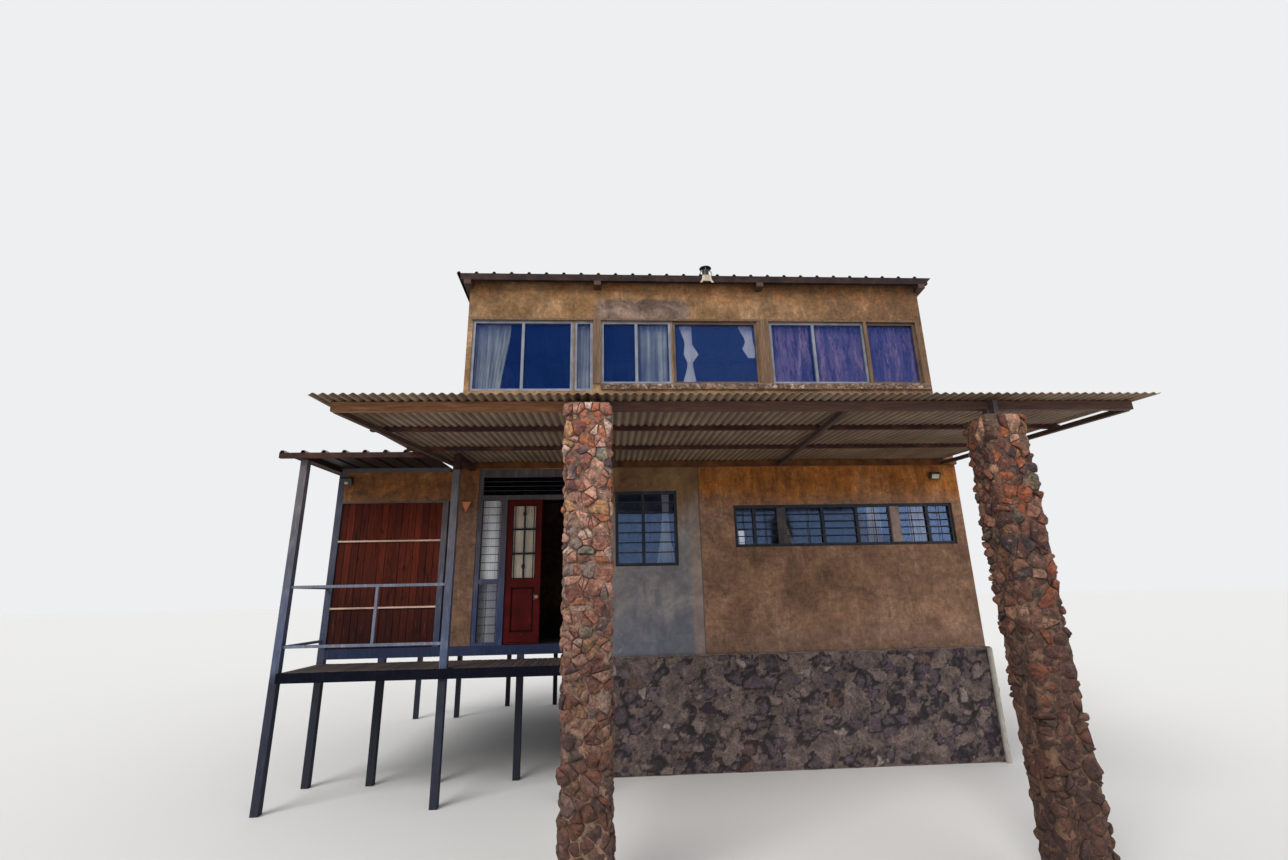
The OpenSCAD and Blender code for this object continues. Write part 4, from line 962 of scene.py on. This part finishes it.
def ledge_clods():
    """Broken mud along the edge of the ledge under the upper windows."""
    rng = random.Random(53)
    low, high = rest_box("window_ledge")
    edge, size = 0.004, 0.045

    def place(u, v, out):
        return at(low.x + u, low.y - out, low.z + edge + v)

    shape = Shape()
    cells = stone_cells(high.x - low.x, high.z - low.z - 2 * edge, size, rng, around=False, kept=0.6, cut=0.3)
    lay_stones(shape, cells, place, rng, joint=0.006, relief=0.012, slope=0.5, corner=0.18, wobble=0.5)
    shape.piece("ledge_clods", "ledge_mud", slot="ochre_adobe", smooth=50)


# Boards

def plank(shape, low, high, along, rng):
    """One board with slightly uneven faces, split into short lengths along its axis."""
    sway, length = 0.0015, 0.35
    steps = max(2, int((high[along] - low[along]) / length))
    shift = rng.uniform(-sway, sway)
    seed = rng.uniform(0, 99)
    others = [i for i in range(3) if i != along]
    verts = []
    for step in range(steps + 1):
        t = low[along] + (high[along] - low[along]) * step / steps
        for corner in ((0, 0), (1, 0), (1, 1), (0, 1)):
            point = [t, t, t]
            for axis, side in zip(others, corner):
                edge = (low[axis], high[axis])[side]
                point[axis] = edge + shift + sway * noise.noise(Vector((t * 2.5, seed + side * 7, axis * 9)))
            verts.append(at(*point))
    ends = [(0, 1, 2, 3), tuple(4 * steps + i for i in (3, 2, 1, 0))]
    sides = [(j, i, next_i, next_j) for i, j, next_j, next_i in row_faces(steps + 1, 4)]
    shape.add(verts, ends + sides, rng.random())


def board_panel():
    """Upright boards of the panel, with a worn lower edge."""
    rng = random.Random(7)
    low, high = rest_box("boarded_panel")
    count, gap = 15, 0.0035
    pitch = (high.x - low.x) / count
    shape = Shape()
    for i in range(count):
        x = low.x + i * pitch
        foot = low.z + rng.uniform(0.0, 0.010)
        plank(shape, (x + gap / 2, low.y + 0.002, foot), (x + pitch - gap / 2, high.y, high.z - 0.002), 2, rng)
    # Battens behind the boards show in the gaps
    for share in (0.15, 0.5, 0.85):
        z = low.z + (high.z - low.z) * share
        shape.box((low.x + 0.005, high.y, z), (high.x - 0.005, high.y + 0.022, z + 0.09), 0.1)
    # Small clips that hold the ends of the two flat bars
    for lift in FLAT_BARS:
        for x in (low.x - 0.012, high.x - 0.020):
            z = FLOOR + lift
            shape.box((x, low.y - 0.016, z - 0.014), (x + 0.030, low.y + 0.004, z + 0.034), slot=1)
    shape.piece("panel_boards", "red_boards", "black_iron", slot="red_boards", node="boarded_panel", bevel=0.0025)


def deck_planks():
    """Narrow planks of the deck from front to rear, cut round the right post at the end of the railing."""
    rng = random.Random(19)
    low, high = rest_box("deck_boards")
    rail_low, rail_high = rest_box("deck_railing")
    post, middle = 0.08, rail_low.y + 0.015
    post_low, post_high = (Vector((rail_high.x + x, middle + y, 0)) for x, y in ((0.0, -post / 2), (post, post / 2)))
    width, gap, clear, shortest = 0.068, 0.007, 0.006, 0.03
    count = round((high.x - low.x) / width)
    pitch = (high.x - low.x) / count
    shape = Shape()
    for i in range(count):
        x0, x1 = low.x + i * pitch + gap / 2, low.x + (i + 1) * pitch - gap / 2
        runs = [(low.y + rng.uniform(0.0, 0.012), high.y - 0.003)]
        if x0 < post_high.x + clear and x1 > post_low.x - clear:
            runs = [(low.y + 0.002, post_low.y - clear), (post_high.y + clear, high.y - 0.003)]
        for y0, y1 in runs:
            if y1 - y0 > shortest:
                plank(shape, (x0, y0, low.z + 0.001), (x1, y1, high.z - 0.002), 1, rng)
    shape.piece("deck_planks", "floor_boards", slot="floor_boards", node="deck_boards", bevel=0.003)


# Steel bars of the windows and the door frame: their height and depth, and how far they reach into a frame's face

BAR_H, BAR_D = 0.012, 0.008
BAR_ROOT = 0.004


def spread(low, high, count):
    """Count places that divide a stretch evenly."""
    return [low + (high - low) * (i + 1) / (count + 1) for i in range(count)]


def horizontal_bars(shape, x0, x1, y, heights, rng, bar_h=BAR_H):
    """Level bars that droop a little, each its own way."""
    for z in heights:
        droop = rng.uniform(-0.002, 0.002)
        shape.box((x0, y - BAR_D, z + droop), (x1, y, z + droop + bar_h))


def small_window_bars():
    """Bars in front of the small windows in the front, right and rear walls."""
    rng = random.Random(5)
    high = rest_box("small_windows")[1]
    edge, width = 0.04, SMALL_HIGH.x - SMALL_LOW.x
    # Left edges of the windows in the right and rear walls
    side_y, back_x = 2.085, 4.2
    heights = spread(SMALL_LOW.z + edge, SMALL_HIGH.z - edge, 6)
    bars = Shape()
    horizontal_bars(bars, SMALL_LOW.x + edge, SMALL_HIGH.x - edge, SMALL_LOW.y + BAR_ROOT, heights, rng)
    for x0, y0, x1, y1 in (
            (high.x - BAR_ROOT, side_y + edge, high.x + BAR_D - BAR_ROOT, side_y + width - edge),
            (back_x + edge, high.y - BAR_ROOT, back_x + width - edge, high.y + BAR_D - BAR_ROOT)):
        for z in heights:
            bars.box((x0, y0, z), (x1, y1, z + BAR_H))
    bars.piece("small_window_bars", "window_bars", slot="dark_frame", bevel=0.001)


def ribbon_bars():
    """Bars in front of the ribbon window, in three lengths between its posts, with uprights."""
    rng = random.Random(6)
    low, high = rest_box("ribbon_window")
    edge, face = 0.04, 0.02 + BAR_ROOT
    bars = Shape()
    for x0, x1 in ((low.x + edge, low.x + 0.59), (low.x + 0.71, low.x + 2.165), (low.x + 2.29, high.x - edge)):
        horizontal_bars(bars, x0, x1, face, spread(low.z + edge, high.z - edge, 4), rng)
    for along in (0.13, 0.43, 1.02, 1.94, 2.46, 2.86):
        x = low.x + along
        bars.box((x, face - BAR_D, low.z + edge), (x + 0.008, face - 0.001, high.z - edge))
    bars.piece("ribbon_bars", "window_bars", slot="dark_frame", bevel=0.001)


def door_frame_bars():
    """Bars over the sidelight's two panes and the dark slats of the fanlight."""
    rng = random.Random(8)
    low, high = rest_box("door_frame_glass")
    x0, x1 = low.x, low.x + 0.25
    # Foot of the bar between the sidelight's two panes, and the height of a frame bar
    bar_z, frame_h = FLOOR + 0.738, 0.06
    face = low.y - BAR_ROOT
    bars = Shape()
    horizontal_bars(bars, x0, x1, face, spread(low.z, bar_z, 6), rng, 0.009)
    horizontal_bars(bars, x0, x1, face, spread(bar_z + frame_h, TRANSOM, 9), rng, 0.009)
    for left, right, top in ((x0 + 0.008, x0 + 0.016, TRANSOM), (x1 - 0.016, x1 - 0.008, TRANSOM),
                             (x0 + 0.10, x0 + 0.107, bar_z)):
        bars.box((left, face - 0.004, low.z), (right, face + 0.002, top))
    horizontal_bars(bars, low.x, high.x, face, spread(TRANSOM + frame_h, high.z, 3), rng, 0.007)
    bars.piece("door_frame_bars", "window_bars", slot="dark_frame", bevel=0.001)


# Door leaves

# Radius and height of the turned knots on the ironwork
KNOT = ((0.006, 0.0), (0.014, 0.006), (0.021, 0.016), (0.024, 0.030), (0.024, 0.042), (0.021, 0.056),
        (0.014, 0.066), (0.006, 0.072))


def strips(x0, x1, z0, z1, width):
    """Foot, head, left and right strip along the edges inside a rectangle."""
    return [(x0, x1, z0, z0 + width), (x0, x1, z1 - width, z1), (x0, x0 + width, z0, z1), (x1 - width, x1, z0, z1)]


def leaf_details(side):
    """Mouldings and ironwork of one leaf, built as it stands closed at the left, then placed."""
    body = side + "_leaf"
    pane_top, right_stile = LEAF_H - STILE, LEAF_W - STILE
    wood, iron = Shape(), Shape()
    # Raised field of the lower panel
    field, bead = 0.03, 0.010
    for inset, depth in ((field, 0.0075), (field + 0.012, 0.004)):
        wood.box((STILE + inset, depth, PANEL_LOW + inset), (right_stile - inset, 0.0115, PANEL_HIGH - inset))
    # Beads round the panel and the glass
    for z0, z1 in ((PANEL_LOW, PANEL_HIGH), (GLASS_LOW, pane_top)):
        for left, right, foot, top in strips(STILE, right_stile, z0, z1, bead):
            wood.box((left, -0.004, foot), (right, 0.006, top))
    # Open joint between the raised field and its bead, painted black as shade by the door's look
    joints = strips(STILE + bead, right_stile - bead, PANEL_LOW + bead, PANEL_HIGH - bead, field - bead)
    for left, right, foot, top in joints[2:] + joints[:2]:
        wood.box((left, 0.0085, foot), (right, 0.0125, top), 1.0)
    # Weather board at the foot
    wood.box((0.012, -0.012, 0.02), (LEAF_W - 0.012, 0.0, 0.075))
    # Ironwork in front of the panes
    y, middle = 0.002, LEAF_W / 2
    for x, radius, short in ((STILE + 0.032, 0.006, 0.004), (right_stile - 0.032, 0.006, 0.004),
                             (middle, 0.0055, 0.002)):
        iron.rod((x, y, GLASS_LOW + short), (x, y, pane_top - short), radius)
    for z in (1.114, 1.427):
        iron.box((STILE, y - 0.005, z - 0.006), (right_stile, y + 0.004, z + 0.006))
    for z in (0.943, 1.620):
        iron.turned((middle, y - 0.008, z - KNOT[-1][1] / 2), KNOT, 14)
    for shape, part, look, slot in ((wood, "mouldings", "red_door", "red_door"),
                                    (iron, "ironwork", "black_iron", "dark_frame")):
        shape.verts = [leaf_to_house(side, v - CORNER) for v in shape.verts]
        if side == "right":
            shape.faces = [list(reversed(face)) for face in shape.faces]
        shape.piece(f"{body}_{part}", look, body=body, slot=slot, bevel=0.0015)
    # Lace behind the panes
    edge = STILE + 0.003
    rows = [(edge, LEAF_W - edge, pane_top - 0.004), (edge, LEAF_W - edge, GLASS_LOW + 0.003)]
    curtain(body + "_lace", rows, 1.06, 9, "cream_lace", 0.043, 7, body=body, rests="door_leaf_" + side,
            place=lambda x, y, z: leaf_to_house(side, Vector((x, y, z))))


# Cloth

def pleat_depth(shown, flat, pleats):
    """Depth of each pleat, so that a wave as wide as shown has the cloth's flat width."""
    steps, halvings = 24, 24
    low, high = 0.0, flat
    for _ in range(halvings):
        depth = (low + high) / 2
        length = last = 0.0
        for i in range(1, steps + 1):
            y = depth / 2 * sin(2 * pi * i / steps)
            length += hypot(shown / pleats / steps, y - last)
            last = y
        if length * pleats < flat:
            low = depth
        else:
            high = depth
    return (low + high) / 2


def curtain(name, rows, fullness, pleats, look, y, seed, node=None, body=HOUSE,
            rests="curtain_rails", place=at):
    """A pleated sheet. Each row is left edge, right edge and height, from the top down."""
    flat_width = fullness * max(right - left for left, right, _ in rows)
    pleat_columns, row_height = 8, 0.06
    columns = pleats * pleat_columns
    fine = []
    for (l0, r0, z0), (l1, r1, z1) in zip(rows, rows[1:]):
        steps = max(2, int(abs(z0 - z1) / row_height))
        for step in range(steps):
            t = step / steps
            ease = t * t * (3 - 2 * t)
            fine.append((l0 + (l1 - l0) * ease, r0 + (r1 - r0) * ease, z0 + (z1 - z0) * t))
    fine.append(rows[-1])
    verts = []
    for left, right, z in fine:
        depth = pleat_depth(right - left, flat_width, pleats)
        for column in range(columns + 1):
            t = column / columns
            phase = 2 * pi * pleats * t + 0.5 * noise.noise(Vector((t * 5, z * 1.6, seed)))
            sway = 0.004 * noise.noise(Vector((t * 7, z * 2.1, seed + 5)))
            verts.append(place(left + (right - left) * t, y + depth / 2 * sin(phase) + sway, z))
    shape = Shape()
    shape.add(verts, row_faces(len(fine), columns + 1, around=False))
    slot = "purple_cloth" if look == "purple_cloth" else "curtain_cloth"
    piece = shape.piece(name, look, body=body, slot=slot, node=node, smooth=80)
    drop = rows[0][2] - rows[-1][2]


def curtains():
    """The cloth behind the glass, bay by bay from the left."""
    low, high = rest_box("upper_curtains")
    top, sill_a = high.z - 0.004, low.z + 0.01
    sill_d = sill_a + 0.105
    ribbon_low, ribbon_high = rest_box("ribbon_window")
    ribbon = ribbon_high.z + 0.005, ribbon_low.z - 0.05
    glass = rest_box("door_frame_glass")[0]
    side = glass.x + 0.004, glass.x + 0.246
    upper, lower, sidelight = 0.118, 0.318, 0.091
    # Node, then for each cloth its name, look, line behind the wall's front, fullness, pleats and rows
    bays = {
        "upper_curtains": [
            ("curtain_a", "curtain_cloth", upper, 1.15, 9, [(0.105, 0.605, top), (0.105, 0.48, sill_a)]),
            ("curtain_b", "curtain_cloth", upper, 1.15, 5, [(1.545, 1.795, top), (1.545, 1.795, sill_a)]),
            ("curtain_d", "curtain_cloth", upper, 1.25, 6, [(2.45, 2.895, top), (2.44, 2.895, sill_d)]),
            ("tied_curtain_left", "white_lace", upper, 1.12, 7,
             [(3.07, 3.26, top), (3.15, 3.26, 5.62), (3.13, 3.35, 5.46), (3.18, 3.26, 5.33), (3.09, 3.31, sill_d)]),
            ("tied_curtain_right", "white_lace", upper, 1.12, 7,
             [(3.96, 4.17, top), (4.06, 4.18, 5.66), (4.01, 4.20, 5.55), (4.09, 4.19, 5.405)]),
        ],
        "purple_cloths": [
            ("purple_cloth_" + bay, "purple_cloth", upper, 1.02, 9, [(x0, x1, top), (x0, x1, sill_d)])
            for bay, x0, x1 in (("g", 4.41, 5.035), ("h", 5.065, 5.825), ("i", 5.855, 6.625))],
        "lower_curtains": [
            ("small_window_curtain", "white_lace", lower, 1.12, 7,
             [(2.76, 2.86, SMALL_HIGH.z), (2.765, 2.85, SMALL_HIGH.z - 0.25), (2.74, 2.86, 2.95),
              (2.665, 2.925, SMALL_LOW.z - 0.05)]),
            *(("ribbon_curtain_" + bay, "cream_lace", lower, 1.2, 6, [(*x_top, ribbon[0]), (*x_foot, ribbon[1])])
              for bay, x_top, x_foot in (("a", (3.71, 3.80), (3.71, 3.83)), ("b", (4.39, 4.47), (4.45, 4.59)),
                                         ("c", (5.68, 5.87), (5.66, 5.87)), ("d", (6.27, 6.52), (6.27, 6.57)))),
            ("sidelight_cloth", "white_lace", sidelight, 1.15, 8, [(*side, TRANSOM - 0.002), (*side, glass.z)]),
        ],
    }
    for node, cloths in bays.items():
        for seed, (name, look, y, fullness, pleats, rows) in enumerate(cloths):
            curtain(name, rows, fullness, pleats, look, y, seed, node=node,
                    rests="door_frame" if y == sidelight else "curtain_rails")


# Fittings

def lamps():
    """Two wall lamps: a finned body, a pale glass face and a folded bracket."""
    shape = Shape()
    tilt = Matrix.Rotation(radians(30), 4, "X")
    z = 3.62
    for x, lens in ((6.54, 0.050), (-1.40, 0.022)):
        start = len(shape.verts)
        shape.box((-0.07, -0.105, -0.055), (0.07, -0.055, 0.035))
        for i in range(7):
            fin = -0.06 + i * 0.02
            shape.box((fin - 0.002, -0.055, -0.045), (fin + 0.002, -0.040, 0.030))
        shape.box((-lens, -0.1075, -0.040), (lens, -0.105, lens - 0.030), slot=1)
        shape.box((-0.075, -0.110, 0.035), (0.075, -0.055, 0.040))
        for i in range(start, len(shape.verts)):
            shape.verts[i] = at(x, 0, z) + tilt @ (shape.verts[i] - CORNER)
        shape.box((x - 0.02, -0.06, z - 0.05), (x + 0.02, -0.001, z - 0.02))
        shape.box((x - 0.035, -0.006, z - 0.07), (x + 0.035, -0.001, z + 0.01))
    shape.piece("wall_lamps", "black_plastic", "lamp_glass", slot="black_plastic", node="floodlights", bevel=0.0015)


def flue():
    """Dark flue under a flat black cap, with two pale straps and a pale skirt over the fascia."""
    low, high = rest_box("roof_flue")
    x, y = (low.x + high.x) / 2, (low.y + high.y) / 2
    pipe, lip, rim = 0.05, 0.006, high.z - low.z - 0.045
    shape = Shape()
    shape.turned((x, y, low.z), (
        (0.085, 0.0), (0.085, 0.008), (0.060, 0.02), (pipe, 0.03), (pipe, rim - 0.010),
        (pipe + lip, rim - 0.008), (pipe + lip, rim), (pipe - lip, rim)), 32, slot=1)
    shape.turned((x, y, high.z - 0.034), (
        (0.089, 0.0), (0.089, 0.008), (0.05, 0.022), (0.012, 0.031), (0.010, 0.034)), 32, slot=1)
    for i in range(3):
        a = 2 * pi * i / 3 + 0.4
        foot = Vector((x + 0.053 * cos(a), y + 0.053 * sin(a), high.z - 0.075))
        shape.rod(foot, (foot.x + 0.014 * cos(a), foot.y + 0.014 * sin(a), high.z - 0.030), 0.004)
    # Straps beside the pipe, and the skirt in front of the fascia
    front, crown = rest_box("roof_purlins")[0].y - 0.004, low.z + 0.02
    strap = ((1.0, 0.0), (1.25, 0.035), (1.2, 0.075), (0.8, 0.105))
    for side in (-1, 1):
        a = side * (pipe + 0.020)
        for (u0, z0), (u1, z1) in zip(strap, strap[1:]):
            shape.rod((x + a * u0, y - 0.03, crown + z0), (x + a * u1, y - 0.03, crown + z1), 0.010, 8)
    skirt = ((-0.062, 0.0), (0.062, 0.0), (0.072, 0.075), (0.104, 0.128), (0.070, 0.128), (0.052, 0.100),
             (-0.052, 0.100), (-0.070, 0.128), (-0.104, 0.128), (-0.072, 0.075))
    count = len(skirt)
    verts = [at(x + u, front + back, crown - down) for back in (-0.003, 0.0) for u, down in skirt]
    sides = [(i, i + count, (i + 1) % count + count, (i + 1) % count) for i in range(count)]
    shape.add(verts, sides + [tuple(range(count)), tuple(reversed(range(count, 2 * count)))])
    shape.piece("flue_with_cap", "pale_sheet", "black_iron", slot="roof_sheet", node="roof_flue", smooth=40)


def porch_screws():
    """Dome screws with washers in rows over the porch purlins and the beam."""
    low, high = rest_box("porch_roof")
    slope = tan(radians(3.5))
    crest = 0.018 + 0.003
    dome = (0.012, 0), (0.012, 0.002), (0.007, 0.0025), (0.006, 0.006), (0.002, 0.008)
    shape = Shape()
    columns = int((high.x - low.x) / PORCH_WAVE)
    for y in (-3.10, -2.16, -1.13, -0.03):
        for column in range(1, columns, 3):
            x = low.x + (column + 0.5) * PORCH_WAVE
            shape.turned((x, y, low.z + crest + (y - low.y) * slope), dome, 8, axis=(0, -slope, 1))
    shape.piece("porch_roof_screws", "aluminium_frame", slot="porch_sheet", smooth=40)


# Carried CAD nodes take their record slot's look, or the one named here
OTHER_LOOK = {
    "stone_foundation": "rubble_mortar",
    "small_windows": "dark_frame",
    "ribbon_posts": "post_plaster",
    "window_trim": "trim_timber",
    "window_ledge": "rough_ledge",
    "roof_purlins": "fascia_steel",
    "porch_ledger": "ledger_steel",
    "wing_roof": "wing_sheet",
    "wing_roof_beams": "wing_steel",
    "upper_window_glass": "window_glass",
    "lower_window_glass": "lower_glass",
    "door_frame_glass": "door_glass",
    "door_leaf_left_glass": "door_glass",
    "door_leaf_right_glass": "door_glass",
    "door_frame": "door_steel",
    "floor_frame": "floor_steel",
    "deck_frame": "deck_steel",
    "deck_railing": "rail_steel",
    "floor_stilts": "stilt_steel",
    "panel_frame": "panel_steel",
    "wing_wall_beam": "panel_steel",
}


def dress_cad_nodes():
    """Gives each carried CAD node its look."""
    slots = {part["node"]: part["material_slot"] for part in frame["record"]["subparts"]}
    for name, node in frame["nodes"].items():
        node.data.materials.clear()
        node.data.materials.append(LOOKS[OTHER_LOOK.get(name, slots[name])])


# Stage, light and camera

def add_sun(name, strength, softness, down, side):
    """A soft sun in front of the house: degrees down from overhead, and degrees round to the side."""
    lamp = bpy.data.lights.new(name, "SUN")
    lamp.energy = strength
    lamp.angle = radians(softness)
    sun = bpy.data.objects.new(name, lamp)
    sun.rotation_euler = (radians(down), 0, radians(side))
    bpy.context.scene.collection.objects.link(sun)


def stage():
    """Plain pale floor and soft light; the camera, mirrors and glass see a pale world behind."""
    bpy.ops.mesh.primitive_plane_add(size=400, location=(0, 0, -0.001))
    floor = bpy.context.object
    floor.name = "stage_floor"
    floor.data.materials.append(Look("stage_floor", 0.9, {"Base Color": srgb(222, 220, 216)}).material)

    world = bpy.data.worlds.new("studio")
    bpy.context.scene.world = world
    sky = Graph(world, "World Output")
    sky.tree.nodes.remove(sky.tree.nodes["Background"])
    light = sky.node("Background", {"Color": (0.92, 0.95, 1.0, 1.0), "Strength": 0.62})
    white = sky.node("Background", {"Color": srgb(238, 239, 241), "Strength": 1.0})
    seen, mirrored, through = (
        sky.node("LightPath", {}, f"Is {ray} Ray") for ray in ("Camera", "Glossy", "Transmission"))
    seen = seen.math("MAXIMUM", mirrored).math("MAXIMUM", through)
    sky.link("Surface", sky.node("MixShader", {"Fac": seen, 1: light, 2: white}))

    add_sun("key", strength=2.3, softness=35, down=52, side=-34)
    add_sun("fill", strength=0.8, softness=60, down=64, side=48)


def camera():
    """The photograph's view of the house, for a frame of 1288 by 860."""
    focal_px, image_width, sensor_width = 578.1, 1288, 36.0
    yaw, pitch, roll = 3.52, 15.92, 1.23
    data = bpy.data.cameras.new("photo_camera")
    data.sensor_width = sensor_width
    data.lens = focal_px / image_width * sensor_width
    data.clip_start = 0.05
    data.clip_end = 500
    view = bpy.data.objects.new("photo_camera", data)
    turn = Matrix.Identity(4)
    for degrees, axis in ((-yaw, "Z"), (90 + pitch, "X"), (-roll, "Z")):
        turn = turn @ Matrix.Rotation(radians(degrees), 4, axis)
    view.matrix_world = Matrix.Translation(at(2.037, -7.725, 2.063)) @ turn
    bpy.context.scene.collection.objects.link(view)
    bpy.context.scene.camera = view


bpy.context.scene.view_settings.view_transform = "Standard"
camera()
stage()
dress_cad_nodes()
stone_pillar("middle_pillar_stones", "pillar_middle", seed=11, size=0.088, kind="pillar")
# The right pillar takes the darker looks, partly painted shade
stone_pillar("right_pillar_stones", "pillar_right", seed=23, size=0.100, kind="dark_pillar")
foundation_stones()
ledge_clods()
board_panel()
deck_planks()
small_window_bars()
ribbon_bars()
door_frame_bars()
leaf_details("left")
leaf_details("right")
curtains()
lamps()
flue()
porch_screws()
